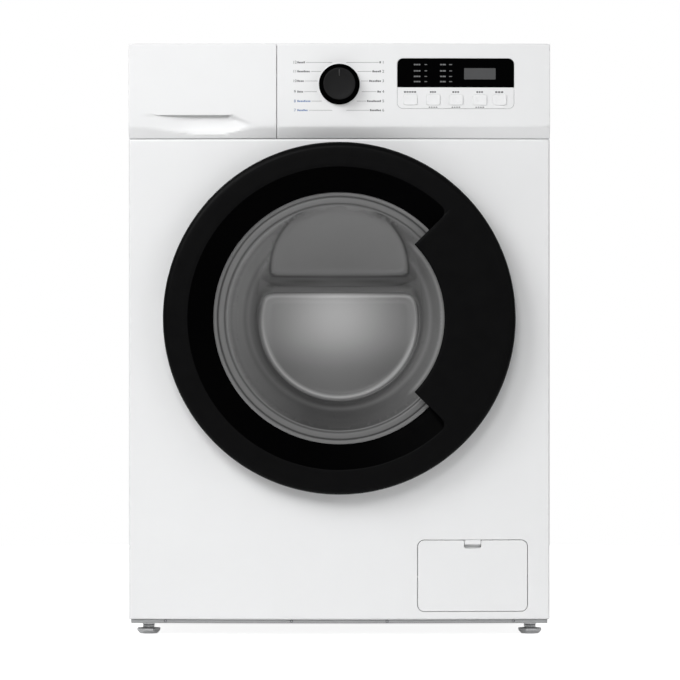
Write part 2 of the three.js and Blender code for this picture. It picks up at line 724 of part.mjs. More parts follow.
function motor() {
  const stator = barY(MOTOR.x, MOTOR.z, MOTOR.r, MOTOR.front + 14, MOTOR.back - 14, 24);
  const ends = [
    barY(MOTOR.x, MOTOR.z, MOTOR.r - 8, MOTOR.front, MOTOR.front + 15, 24),
    barY(MOTOR.x, MOTOR.z, MOTOR.r - 8, MOTOR.back - 15, MOTOR.back, 24),
  ];
  const feet = [MOTOR.front + 10, MOTOR.back - 32].map((y) =>
    box(MOTOR.x - 20, MOTOR.x + 20, y + 4, y + 20, MOTOR.z + 40, 172),
  );
  return cut(join(stator, ...ends, ...feet), barY(MOTOR.x, MOTOR.z, 6.5, MOTOR.back - 16, MOTOR.back + 1));
}

function motorPulley() {
  return join(
    barY(MOTOR.x, MOTOR.z, 6, MOTOR.back - 14, PULLEY_Y + PULLEY_WIDTH + 2),
    barY(MOTOR.x, MOTOR.z, MOTOR_PULLEY_R, PULLEY_Y - 1, PULLEY_Y + PULLEY_WIDTH + 1),
  );
}

function heater() {
  const low = { x: HEATER.x - 18, z: 209.3 };
  const high = { x: HEATER.x + 18, z: 221.4 };
  const end = TUB_BACK + 3;
  const loop = hose(
    [
      [low.x, end, low.z],
      [low.x, 290, low.z],
      [low.x, 150, low.z],
      [low.x + 8, 128, low.z + 3],
      [high.x - 8, 128, high.z - 3],
      [high.x, 150, high.z],
      [high.x, 290, high.z],
      [high.x, end, high.z],
    ],
    4,
    22,
    8,
  );
  return join(loop, box(HEATER.x - 30, HEATER.x + 30, TUB_BACK + 0.4, TUB_BACK + 7, 200, 231));
}

// The belt's outline: two arcs and their outer tangents, `grow` outside the pulleys.
function beltOutline(grow) {
  const big = PULLEY_R + grow;
  const small = MOTOR_PULLEY_R + grow;
  const toMotor = new THREE.Vector2(MOTOR.x, MOTOR.z - DOOR_Z);
  const along = toMotor.angle();
  const spread = Math.acos((big - small) / toMotor.length());
  const shape = new THREE.Shape();
  shape.absarc(0, DOOR_Z, big, along + spread, along - spread + 2 * Math.PI);
  shape.absarc(MOTOR.x, MOTOR.z, small, along - spread, along + spread);
  return shape;
}

function driveBelt() {
  const inner = plate(beltOutline(0.4), PULLEY_Y - 5, PULLEY_Y + PULLEY_WIDTH + 5, 20);
  return cut(plate(beltOutline(BELT_THICK), PULLEY_Y + 2, PULLEY_Y + PULLEY_WIDTH - 2, 20), inner);
}

const damperCylinder = (side) =>
  cut(
    barZ(side * DAMPER.x, DAMPER.y, DAMPER.outerR, 40, 170),
    barZ(side * DAMPER.x, DAMPER.y, DAMPER.boreR, 60, 171),
  );

const damperRod = (side) => barZ(side * DAMPER.x, DAMPER.y, DAMPER.rodR, 84, 269.6);
const spring = (side) => barZ(side * SPRING.x, SPRING.y, SPRING.r, SPRING.z0, SPRING.z1, 16);

// ---------------------------------------------------------------- drum
function drumShell() {
  const wall = 1.2;
  return turned(
    [
      [0, DRUM_BACK],
      [DRUM_R - 6, DRUM_BACK],
      [DRUM_R, DRUM_BACK - 6],
      [DRUM_R, DRUM_FRONT + 6],
      [DRUM_R - 6, DRUM_FRONT],
      [166, DRUM_FRONT],
      [163, DRUM_FRONT + 2],
      [163, DRUM_FRONT + 4],
      [DRUM_R - 7, DRUM_FRONT + wall],
      [DRUM_R - wall, DRUM_FRONT + 7],
      [DRUM_R - wall, DRUM_BACK - 7],
      [DRUM_R - 7, DRUM_BACK - wall],
      [0, DRUM_BACK - wall],
    ],
    0,
    DOOR_Z,
    COARSE,
  );
}

function lifter(angle) {
  const foot = -233.8;
  const rightSide = [[30, 0], [24, 12], [10, 39], [5, 44]];
  const leftSide = rightSide.map(([x, z]) => [-x, z]).reverse();
  const section = outline([...rightSide, ...leftSide].map(([x, z]) => [x, foot + z]));
  const geometry = new THREE.ExtrudeGeometry(section, { depth: 240, bevelEnabled: false });
  geometry.rotateX(Math.PI / 2);
  geometry.rotateY(angle);
  geometry.translate(0, 362, DOOR_Z);
  return solid(geometry);
}

function drumSpider() {
  const front = DRUM_BACK + 0.4;
  const arms = [0, 1, 2].map((i) => {
    const geometry = new THREE.BoxGeometry(36, 11, 222);
    geometry.translate(0, front + 5.5, 111);
    geometry.rotateY((i * 2 * Math.PI) / 3);
    geometry.translate(0, 0, DOOR_Z);
    return solid(geometry);
  });
  return join(
    barY(0, DOOR_Z, 42, front, 411, 24),
    ...arms,
    barY(0, DOOR_Z, SHAFT_R, 410, PULLEY_Y + PULLEY_WIDTH + 2, 24),
    barY(0, DOOR_Z, 12, PULLEY_Y + PULLEY_WIDTH + 1, PULLEY_Y + PULLEY_WIDTH + 9, 6),
  );
}

function shaftBearing() {
  const b = BEARING;
  return ring([[b.innerR, b.y0], [b.outerR, b.y0], [b.outerR, b.y1], [b.innerR, b.y1]], 0, DOOR_Z, COARSE);
}

function drumPulley() {
  const [y0, y1] = [PULLEY_Y, PULLEY_Y + PULLEY_WIDTH];
  const rimR = PULLEY_R - 7;
  const rim = ring([[rimR, y0], [PULLEY_R, y0], [PULLEY_R, y1], [rimR, y1]], 0, DOOR_Z, COARSE);
  const spokes = Array.from({ length: 6 }, (_, i) => {
    const geometry = new THREE.BoxGeometry(20, PULLEY_WIDTH - 6, PULLEY_R - 25);
    geometry.translate(0, (y0 + y1) / 2, 22 + (PULLEY_R - 25) / 2);
    geometry.rotateY((i * Math.PI) / 3);
    geometry.translate(0, 0, DOOR_Z);
    return solid(geometry);
  });
  const hub = barY(0, DOOR_Z, 30, y0, y1, 32);
  const bore = barY(0, DOOR_Z, SHAFT_R + GAP, y0 - 1, y1 + 1, 32);
  return cut(join(rim, ...spokes, hub), bore);
}

// ---------------------------------------------------------------- drain, filter and feet
function filterHousing() {
  const barrel = barY(PUMP.x, PUMP.z, 33, 32, 121);
  const volute = barY(PUMP.x, PUMP.z, 40, 120, 150, 24);
  const arm = barX(SUMP.y, 92, 14, SUMP.x, PUMP.x);
  const collar = barZ(SUMP.x, SUMP.y, 18, 78, SUMP.z0 - 0.5);
  const outlet = barX(135, 70, 9, PUMP.x + 20, 232);
  return cut(
    join(barrel, volute, arm, collar, outlet),
    barY(PUMP.x, PUMP.z, 25.6, 31, 105, 24),
    barZ(SUMP.x, SUMP.y, 13, 90, SUMP.z0 + 1),
  );
}

const sumpHose = () =>
  cut(
    barZ(SUMP.x, SUMP.y, SUMP.r, SUMP.z0, SUMP.z1),
    barZ(SUMP.x, SUMP.y, SUMP.r - 4, SUMP.z0 - 1, SUMP.z1 + 1),
  );

function drainPump() {
  const half = 20;
  const motorBlock = box(PUMP.x - half, PUMP.x + half, 189, 230, PUMP.z - half, PUMP.z + half);
  return join(barY(PUMP.x, PUMP.z, 28, 150.4, 190), motorBlock);
}

const drainHose = () =>
  hose(
    [
      [233, 135, 70],
      [242, 135, 70],
      [256, 141, 69],
      [266, 170, 66],
      [270, 230, 66],
      [270, 330, 72],
      [269, 410, 86],
      [268, 450, 112],
      [268, 466, 160],
      [268, 466, 300],
      [268, 466, 460],
      [268, 466, 600],
      [268, 466, 630],
      [268, 469, 652],
      [268, 480, 668],
      [268, 494, DRAIN_EXIT.z],
      [268, 508, DRAIN_EXIT.z],
    ],
    10,
    40,
    8,
  );

function filterPlug() {
  const stem = barY(PUMP.x, PUMP.z, 25, 30, 90, 24);
  const head = barY(PUMP.x, PUMP.z, 30, 22, 31.6, 24);
  return join(stem, head, box(PUMP.x - 24, PUMP.x + 24, 10, 23, PUMP.z - 4, PUMP.z + 4));
}

function filterFlap() {
  const shape = roundedOutline(FLAP.x0, FLAP.x1, FLAP.z0, FLAP.z1, FLAP.r);
  const sheet = bowedBox(FLAP.x0 - 1, FLAP.x1 + 1, 0, WALL, FLAP.z0 - 1, FLAP.z1 + 1);
  const notch = plate(roundedOutline(178, 202, 124.5, 145, 3), -20, 10);
  return cut(plate(shape, -20, 10).intersect(sheet), notch);
}

function foot(x, y) {
  return join(
    barZ(x, y, FOOT.flangeR, 0, 9, 8),
    barZ(x, y, FOOT.stemR, 8, 52, 16),
    barZ(x, y, 10.6, 10.5, 17, 6),
  );
}

// ---------------------------------------------------------------- assembly
add("cabinet_shell", cabinetShell(), FINISH.whitePaint);
add("front_panel", frontPanel(), FINISH.whitePaint);
add("rear_cover", rearCover(), FINISH.whitePaint);
add("base_tray", baseTray(), FINISH.greyPlastic);
add("worktop", worktop(), FINISH.whitePlastic);
add("control_fascia", controlFascia(), FINISH.whitePlastic);
add("display_lens", displayLens(), FINISH.display);
add("button_panel", buttonPanel(), FINISH.whitePlastic);
add("control_board", controlBoard(), FINISH.board);
add("program_knob", programKnob(), FINISH.blackPlastic);
BUTTONS.xs.forEach((x, i) => add(`button_${i + 1}`, button(x), FINISH.whitePlastic));
add("drawer_front", drawerFront(), FINISH.whitePlastic);
add("drawer_tray", drawerTray(), FINISH.whitePlastic);
add("dispenser_housing", dispenserHousing(), FINISH.greyPlastic);
add("inlet_valve", inletValve(), FINISH.whitePlastic);
add("fill_hose", fillHose(), FINISH.rubber);
add("tub_fill_bellows", bellows(), FINISH.rubber);

add("door_ring", doorRing(), FINISH.blackPlastic);
add("door_inner_frame", doorInnerFrame(), FINISH.greyPlastic);
add("door_glass", doorGlass(), FINISH.glass);
add("hinge_arm", hingeArm(), FINISH.zinc);
add("hinge_bracket", hingeBracket(), FINISH.zinc);
add("door_hook", doorHook(), FINISH.zinc);
add("door_lock", doorLock(), FINISH.darkPlastic);
add("door_gasket", doorGasket(), FINISH.rubber);
add("gasket_clamp", gasketClamp(), FINISH.zinc);

add("tub_front", tubFront(), FINISH.greyPlastic);
add("tub_rear", tubRear(), FINISH.greyPlastic);
add("counterweight", counterweight(), FINISH.concrete);
add("motor", motor(), FINISH.aluminium);
add("motor_pulley", motorPulley(), FINISH.zinc);
add("heater", heater(), FINISH.copper);
add("shaft_bearing", shaftBearing(), FINISH.steel);
add("drive_belt", driveBelt(), FINISH.darkPlastic);
for (const [name, side] of [["left", -1], ["right", 1]]) {
  add(`damper_cylinder_${name}`, damperCylinder(side), FINISH.greyPlastic);
  add(`damper_rod_${name}`, damperRod(side), FINISH.zinc);
  add(`spring_${name}`, spring(side), FINISH.zinc);
}

add("drum_shell", drumShell(), FINISH.steel);
for (const i of [0, 1, 2]) {
  add(`lifter_${i + 1}`, lifter(Math.PI + (i * 2 * Math.PI) / 3), FINISH.greyPlastic);
}
add("drum_spider", drumSpider(), FINISH.aluminium);
add("drum_pulley", drumPulley(), FINISH.aluminium);

add("filter_housing", filterHousing(), FINISH.greyPlastic);
add("sump_hose", sumpHose(), FINISH.rubber);
add("drain_pump", drainPump(), FINISH.darkPlastic);
add("drain_hose", drainHose(), FINISH.greyPlastic);
add("filter_plug", filterPlug(), FINISH.greyPlastic);
add("filter_flap", filterFlap(), FINISH.whitePlastic);
for (const [row, y] of [["front", FOOT.front], ["rear", FOOT.back]]) {
  add(`foot_${row}_left`, foot(-FOOT.x, y), FINISH.zinc);
  add(`foot_${row}_right`, foot(FOOT.x, y), FINISH.zinc);
}

// The door stands DOOR_FRONT before the panel and the valve's thread ends 515 behind it.
const REAR_MOST = 515;
group.position.y = -(DOOR_FRONT + REAR_MOST) / 2;

export default group;
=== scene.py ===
"""The looks of a front load washing machine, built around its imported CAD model.

Lengths in the piece tables are millimetres in the machine's own frame: x to the right seen from the
front, y back from the side edge of the front panel, z up from the floor. place() turns them into
metres in the row's frame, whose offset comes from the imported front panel.
"""
import math

import bmesh
import bpy
import numpy as np
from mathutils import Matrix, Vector
from mathutils.geometry import delaunay_2d_cdt


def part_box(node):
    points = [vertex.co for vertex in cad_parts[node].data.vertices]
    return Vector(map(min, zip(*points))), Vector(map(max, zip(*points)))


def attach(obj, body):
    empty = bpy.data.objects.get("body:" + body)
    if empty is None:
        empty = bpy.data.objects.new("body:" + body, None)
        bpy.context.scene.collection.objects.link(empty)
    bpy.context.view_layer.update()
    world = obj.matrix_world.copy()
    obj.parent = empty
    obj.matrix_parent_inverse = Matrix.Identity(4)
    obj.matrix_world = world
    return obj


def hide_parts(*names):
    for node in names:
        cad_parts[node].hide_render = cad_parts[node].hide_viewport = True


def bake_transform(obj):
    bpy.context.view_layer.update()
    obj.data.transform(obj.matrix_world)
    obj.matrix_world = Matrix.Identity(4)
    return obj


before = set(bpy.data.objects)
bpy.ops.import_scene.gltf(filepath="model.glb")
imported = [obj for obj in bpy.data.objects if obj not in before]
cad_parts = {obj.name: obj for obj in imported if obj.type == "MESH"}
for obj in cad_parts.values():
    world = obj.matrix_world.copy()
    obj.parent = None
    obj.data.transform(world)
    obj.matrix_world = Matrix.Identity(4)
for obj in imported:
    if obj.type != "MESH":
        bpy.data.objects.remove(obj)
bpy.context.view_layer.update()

MM = 0.001
BOW = 10.0  # how far the middle of the front stands proud of its side edges
PANEL_LOW, PANEL_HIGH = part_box("front_panel")
HALF = PANEL_HIGH.x / MM
Y_EDGE = PANEL_LOW.y + BOW * MM
RING_LOW, RING_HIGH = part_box("door_ring")
DOOR_Z = (RING_LOW.z + RING_HIGH.z) / 2 / MM
DOOR_R = RING_HIGH.x / MM
DOOR_FRONT = (RING_LOW.y - Y_EDGE) / MM
DOOR_BACK = (RING_HIGH.y - Y_EDGE) / MM
TAU = 2 * math.pi


def place(x, y, z):
    """The machine's millimetres as metres in the row's frame."""
    return Vector((x * MM, Y_EDGE + y * MM, z * MM))


def node_box(node):
    """A CAD node's box in millimetres of the machine's frame: low and high corners."""
    return [(v.x / MM, (v.y - Y_EDGE) / MM, v.z / MM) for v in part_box(node)]


def node_middle(node):
    """The middle of a CAD node's box: its x, y and z."""
    return [(a + b) / 2 for a, b in zip(*node_box(node))]


def bow(x):
    """y of the front panel's face at x."""
    return -BOW * (1 - (x / HALF) ** 2)


# ---------------------------------------------------------------- mesh helpers
def finish_piece(name, vertices, faces, material, body, replaces=(), crease=35.0, second=None, where=None):
    """A closed mesh from millimetre points: merged, faces out, smooth but sharp past `crease` degrees.
    material and second are names in MATERIALS. Faces whose middle (x, y, z), in metres, passes `where`
    take the second one."""
    mesh = bpy.data.meshes.new(name)
    mesh.from_pydata([place(*v) for v in vertices], [], faces)
    mesh.materials.append(MATERIALS[material])
    if second:
        mesh.materials.append(MATERIALS[second])
    work = bmesh.new()
    work.from_mesh(mesh)
    bmesh.ops.remove_doubles(work, verts=work.verts, dist=1e-6)
    bmesh.ops.dissolve_degenerate(work, edges=work.edges, dist=1e-7)
    bmesh.ops.recalc_face_normals(work, faces=work.faces)
    work.to_mesh(mesh)
    work.free()
    mesh.polygons.foreach_set("use_smooth", [True] * len(mesh.polygons))
    mesh.set_sharp_from_angle(angle=math.radians(crease))
    if second:
        for polygon in mesh.polygons:
            polygon.material_index = 1 if where(*polygon.center) else 0
    piece = bpy.data.objects.new(name, mesh)
    bpy.context.scene.collection.objects.link(piece)
    if body:
        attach(piece, body)
    if replaces:
        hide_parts(*replaces)
    return piece


class Builder:
    """Collects the vertices and faces of one piece, which may be made of several closed solids."""

    def __init__(self):
        self.vertices = []
        self.faces = []

    def add(self, vertices, faces):
        start = len(self.vertices)
        self.vertices.extend(vertices)
        self.faces.extend([[i + start for i in f] for f in faces])
        return self

    def loft(self, loops, closed=True, caps=(False, False), wrap=False):
        """Quads between loops of equal length. caps fills the first and last loop; wrap joins them."""
        count = len(loops[0])
        points = [p for loop in loops for p in loop]
        faces = []
        rows = len(loops) if wrap else len(loops) - 1
        for a in range(rows):
            b = (a + 1) % len(loops)
            for i in range(count if closed else count - 1):
                j = (i + 1) % count
                faces.append([a * count + i, a * count + j, b * count + j, b * count + i])
        if caps[0]:
            faces.append(list(range(count))[::-1])
        if caps[1]:
            faces.append([(len(loops) - 1) * count + i for i in range(count)])
        return self.add(points, faces)

    def turn(self, profile, segments, cx=0.0, cz=0.0, start=0.0, end=TAU):
        """A profile of (radius, y) turned about the line x = cx, z = cz. It closes on itself or the axis."""
        full = abs(end - start - TAU) < 1e-9
        steps = segments if full else segments + 1
        loops = []
        for k in range(steps):
            angle = start + (end - start) * k / segments
            loops.append([(cx + r * math.cos(angle), y, cz + r * math.sin(angle)) for r, y in profile])
        on_axis = profile[0][0] == 0 and profile[-1][0] == 0
        self.loft(loops, closed=not on_axis, caps=(not full, not full), wrap=full)
        return self

    def box(self, x0, x1, y0, y1, z0, z1, r=0.6):
        """A block whose edges are rounded by two chamfer rows over a distance r."""
        r = min(r, (x1 - x0) / 2.01, (y1 - y0) / 2.01, (z1 - z0) / 2.01)
        near, corner = r * 0.3, max(r * 0.5, 0.05)
        loops = []
        for y, d in ((y0, r), (y0 + near, near), (y0 + r, 0), (y1 - r, 0), (y1 - near, near), (y1, r)):
            outline = rounded_loop(x0 + d, x1 - d, z0 + d, z1 - d, corner, 2, None)
            loops.append([(x, y, z) for x, z in outline])
        return self.loft(loops, caps=(True, True))

    def piece(self, name, material, body, **settings):
        return finish_piece(name, self.vertices, self.faces, material, body, **settings)


class Loop(list):
    """A loop of (x, z) points. corners holds, for each point of a round corner, its middle, radius and
    side, and None for the others."""

    corners = ()


def rounded_loop(x0, x1, z0, z1, r, arc=6, spacing=12.0):
    """A rectangle with round corners, anticlockwise, its straight sides split at most `spacing` apart."""
    sides = [(1, -1), (1, 1), (-1, 1), (-1, -1)]
    round_points = []
    corners = [
        (x1 - r, z0 + r, -0.5 * math.pi),
        (x1 - r, z1 - r, 0.0),
        (x0 + r, z1 - r, 0.5 * math.pi),
        (x0 + r, z0 + r, math.pi),
    ]
    points = []
    for k, (cx, cz, start) in enumerate(corners):
        for i in range(arc + 1):
            angle = start + 0.5 * math.pi * i / arc
            round_points.append((cx, cz, r, sides[k]))
            points.append((cx + r * math.cos(angle), cz + r * math.sin(angle)))
        if spacing:
            nx, nz, nstart = corners[(k + 1) % 4]
            last = points[-1]
            target = (nx + r * math.cos(nstart), nz + r * math.sin(nstart))
            pieces = max(1, math.ceil(math.dist(last, target) / spacing))
            for i in range(1, pieces):
                round_points.append(None)
                points.append(tuple(a + (b - a) * i / pieces for a, b in zip(last, target)))
    loop = Loop(points)
    loop.corners = round_points
    return loop


def circle_loop(cx, cz, r, count):
    """count points round a circle, anticlockwise from its right."""
    return [(cx + r * math.cos(TAU * i / count), cz + r * math.sin(TAU * i / count)) for i in range(count)]


def inset(loop, distance):
    """The loop moved inwards (anticlockwise loops) by distance, along each point's mean normal."""
    if not distance:
        return list(loop)
    points = np.array(loop)
    before = points - np.roll(points, 1, axis=0)
    after = np.roll(points, -1, axis=0) - points
    before /= np.maximum(np.linalg.norm(before, axis=1, keepdims=True), 1e-9)
    after /= np.maximum(np.linalg.norm(after, axis=1, keepdims=True), 1e-9)
    tangent = before + after
    tangent /= np.maximum(np.linalg.norm(tangent, axis=1, keepdims=True), 1e-9)
    normal = np.stack([-tangent[:, 1], tangent[:, 0]], axis=1)
    stretch = 1 / np.maximum((tangent * after).sum(axis=1), 0.5)
    moved = [tuple(p) for p in points + normal * distance * stretch[:, None]]
    for i, corner in enumerate(getattr(loop, "corners", ())):
        if corner and distance >= corner[2]:
            cx, cz, r, (side_x, side_z) = corner
            moved[i] = (cx - side_x * (distance - r), cz - side_z * (distance - r))
    return moved


def inside(points, loop):
    """Which of the (n, 2) points lie inside the loop."""
    x, z = points[:, 0], points[:, 1]
    result = np.zeros(len(points), bool)
    count = len(loop)
    for i in range(count):
        (x0, z0), (x1, z1) = loop[i], loop[(i + 1) % count]
        if z0 == z1:
            continue
        crosses = (z0 > z) != (z1 > z)
        result ^= crosses & (x < (x1 - x0) * (z - z0) / (z1 - z0) + x0)
    return result


def fill(outer, holes, spacing, lines=()):
    """Triangles over the outer loop less its holes, with points on a grid and along extra lines."""
    loops = [outer, *holes]
    points = [p for loop in loops for p in loop]
    edges = []
    start = 0
    for loop in loops:
        edges += [(start + i, start + (i + 1) % len(loop)) for i in range(len(loop))]
        start += len(loop)
    boundary = np.array(points)
    for line in lines:
        edges += [(len(points) + i, len(points) + i + 1) for i in range(len(line) - 1)]
        points += list(line)
    lines_array = np.array([p for line in lines for p in line]).reshape(-1, 2)
    if spacing:
        low, high = boundary.min(0), boundary.max(0)
        xs = np.arange(low[0] + spacing / 2, high[0], spacing)
        zs = np.arange(low[1] + spacing / 2, high[1], spacing)
        grid = np.stack(np.meshgrid(xs, zs), axis=-1).reshape(-1, 2)
        keep = inside(grid, outer)
        for hole in holes:
            keep &= ~inside(grid, hole)
        near = np.concatenate([boundary, lines_array])
        distance = np.full(len(grid), 1e9)
        for p in near:
            distance = np.minimum(distance, np.hypot(*(grid - p).T))
        keep &= distance > spacing * 0.45
        points += [tuple(p) for p in grid[keep]]
    out = delaunay_2d_cdt([Vector(p) for p in points], edges, [], 0, 1e-5)
    vertices = [(v.x, v.y) for v in out[0]]
    triangles = [list(f) for f in out[2]]
    middle = np.array([np.mean([vertices[i] for i in f], axis=0) for f in triangles])
    keep = inside(middle, outer)
    for hole in holes:
        keep &= ~inside(middle, hole)
    return vertices, [f for f, ok in zip(triangles, keep) if ok]


def skin(builder, loops, surface, spacing, lines=()):
    """One filled face: loops of (x, y, z), the outline first and then its holes. surface gives y inside."""
    known = {(round(x, 4), round(z, 4)): y for loop in loops for x, y, z in loop}
    flat = [[(x, z) for x, _, z in loop] for loop in loops]
    vertices, faces = fill(flat[0], flat[1:], spacing, lines)
    solid = []
    for x, z in vertices:
        y = known.get((round(x, 4), round(z, 4)))
        solid.append((x, surface(x, z) if y is None else y, z))
    return builder.add(solid, faces)


def sheet(builder, chains, front, back, spacing, lines=()):
    """A closed sheet. Each chain is a list of rows of (x, y, z), from the front skin round an edge to the
    back skin: the first chain is the outline and the others are holes. front and back give y at (x, z)."""
    skin(builder, [chain[0] for chain in chains], front, spacing, lines)
    skin(builder, [chain[-1] for chain in chains], back, spacing * 2)
    for chain in chains:
        builder.loft(chain)
    return builder


def row(loop, surface, distance=0.0, lift=0.0):
    """The loop of (x, z) moved inwards by distance and laid lift behind the surface."""
    return [(x, surface(x, z) + lift, z) for x, z in inset(loop, distance)]


def edge_rows(loop, front, radius, steps=4, hole=False, support=1.0):
    """Rows that round the front edge of a sheet, from a support row on the skin to the full edge."""
    sign = -1 if hole else 1
    rows = [row(loop, front, sign * (radius + support))]
    for k in range(steps + 1):
        angle = 0.5 * math.pi * (1 - k / steps)
        rows.append(row(loop, front, sign * radius * (1 - math.cos(angle)), radius * (1 - math.sin(angle))))
    return rows


# ---------------------------------------------------------------- materials
class Nodes:
    """A material's node tree, with short ways to the few kinds of node used here."""

    def __init__(self, name):
        self.material = bpy.data.materials.new(name)
        self.material.use_nodes = True
        self.tree = self.material.node_tree
        self.shader = self.tree.nodes["Principled BSDF"]
        self.coordinates = self.tree.nodes.new("ShaderNodeTexCoord")

    def link(self, source, target):
        self.tree.links.new(source, target)

    def mapped(self, scale):
        node = self.tree.nodes.new("ShaderNodeMapping")
        node.inputs["Scale"].default_value = scale
        self.link(self.coordinates.outputs["Object"], node.inputs["Vector"])
        return node.outputs["Vector"]

    def noise(self, scale, detail=2.0, stretch=None):
        node = self.tree.nodes.new("ShaderNodeTexNoise")
        node.inputs["Scale"].default_value = scale
        node.inputs["Detail"].default_value = detail
        vector = self.mapped(stretch) if stretch else self.coordinates.outputs["Object"]
        self.link(vector, node.inputs["Vector"])
        return node.outputs["Fac"]

    def cells(self, scale):
        node = self.tree.nodes.new("ShaderNodeTexVoronoi")
        node.inputs["Scale"].default_value = scale
        self.link(self.coordinates.outputs["Object"], node.inputs["Vector"])
        return node.outputs["Distance"]

    def ramp(self, factor, low, high, start=0.3, end=0.7):
        """factor between start and end becomes a number or a colour between low and high."""
        if isinstance(low, tuple):
            node = self.tree.nodes.new("ShaderNodeValToRGB")
            node.color_ramp.elements[0].position = start
            node.color_ramp.elements[1].position = end
            node.color_ramp.elements[0].color = (*low, 1)
            node.color_ramp.elements[1].color = (*high, 1)
            self.link(factor, node.inputs["Fac"])
            return node.outputs["Color"]
        node = self.tree.nodes.new("ShaderNodeMapRange")
        for key, value in (("From Min", start), ("From Max", end), ("To Min", low), ("To Max", high)):
            node.inputs[key].default_value = value
        self.link(factor, node.inputs["Value"])
        return node.outputs["Result"]

    def bump(self, *layers):
        """Layers of (height, depth in metres), added up and sent to the shader's normal."""
        normal = None
        for height, depth in layers:
            node = self.tree.nodes.new("ShaderNodeBump")
            node.inputs["Strength"].default_value = 1.0
            node.inputs["Distance"].default_value = depth
            self.link(height, node.inputs["Height"])
            if normal:
                self.link(normal, node.inputs["Normal"])
            normal = node.outputs["Normal"]
        self.link(normal, self.shader.inputs["Normal"])

    def set(self, **values):
        for key, value in values.items():
            socket = self.shader.inputs[key.replace("_", " ")]
            if hasattr(value, "is_linked"):
                self.link(value, socket)
            elif isinstance(value, tuple) and len(value) == 3:
                socket.default_value = (*value, 1)
            else:
                socket.default_value = value


def shade(colour, factor):
    """The colour made lighter or darker."""
    return tuple(min(1.0, c * factor) for c in colour)


def moulded(name, colour, roughness, grain=700, depth=2e-5, spread=0.05, mottle=0.02, specular=0.5):
    """Painted sheet or moulded plastic: faint mottling, uneven gloss and a fine surface texture."""
    n = Nodes(name)
    n.set(
        Base_Color=n.ramp(n.noise(9, 3), shade(colour, 1 - mottle), shade(colour, 1 + mottle)),
        Roughness=n.ramp(n.noise(55, 4), roughness - spread, roughness + spread),
        Metallic=0.0,
        Specular_IOR_Level=specular,
    )
    n.bump((n.noise(grain, 3), depth))
    return n.material


def brushed(name, colour, roughness, stretch, depth=1.2e-5):
    """Metal with fine parallel lines along the axis that `stretch` leaves long."""
    n = Nodes(name)
    lines = n.noise(1.0, 4, stretch)
    n.set(
        Base_Color=n.ramp(lines, shade(colour, 0.88), shade(colour, 1.08)),
        Roughness=n.ramp(n.noise(40, 3), roughness - 0.06, roughness + 0.08),
        Metallic=1.0,
    )
    n.bump((lines, depth))
    return n.material


def cast(name, colour, roughness, grain=260, depth=1.5e-4, metallic=0.0):
    """Cast metal or concrete: pits from a cell texture over a coarse noise."""
    n = Nodes(name)
    pits = n.ramp(n.cells(grain), 0.0, 1.0, 0.1, 0.5)
    n.set(
        Base_Color=n.ramp(n.noise(30, 6), shade(colour, 0.82), shade(colour, 1.12)),
        Roughness=n.ramp(n.noise(120, 3), roughness - 0.1, roughness + 0.1),
        Metallic=metallic,
    )
    n.bump((pits, depth), (n.noise(grain * 3, 4), depth * 0.5))
    return n.material


def smoked_glass(name, attribute, density):
    """Smoked pressed glass. Its colour comes from a mesh attribute that holds the smoke grey with painted
    light and shade on it; density is how opaque it is.
    """
    n = Nodes(name)
    smoke_and_painted_light = n.tree.nodes.new("ShaderNodeAttribute")
    smoke_and_painted_light.attribute_name = attribute
    mottled = n.tree.nodes.new("ShaderNodeMix")
    mottled.data_type = "RGBA"
    mottled.blend_type = "MULTIPLY"
    mottled.inputs["Factor"].default_value = 1.0
    n.link(smoke_and_painted_light.outputs["Color"], mottled.inputs["A"])
    n.link(n.ramp(n.noise(8, 2), (0.97, 0.97, 0.97), (1.0, 1.0, 1.0)), mottled.inputs["B"])
    n.set(
        Base_Color=mottled.outputs["Result"],
        Roughness=n.ramp(n.noise(30, 2), 0.30, 0.36),
        Specular_IOR_Level=0.25,
        Alpha=density,
    )
    n.bump((n.noise(260, 2), 6e-6))
    return n.material


def ink(name, colour):
    """Flat print on the moulding."""
    return moulded(name, colour, 0.55, grain=1500, depth=3e-6)


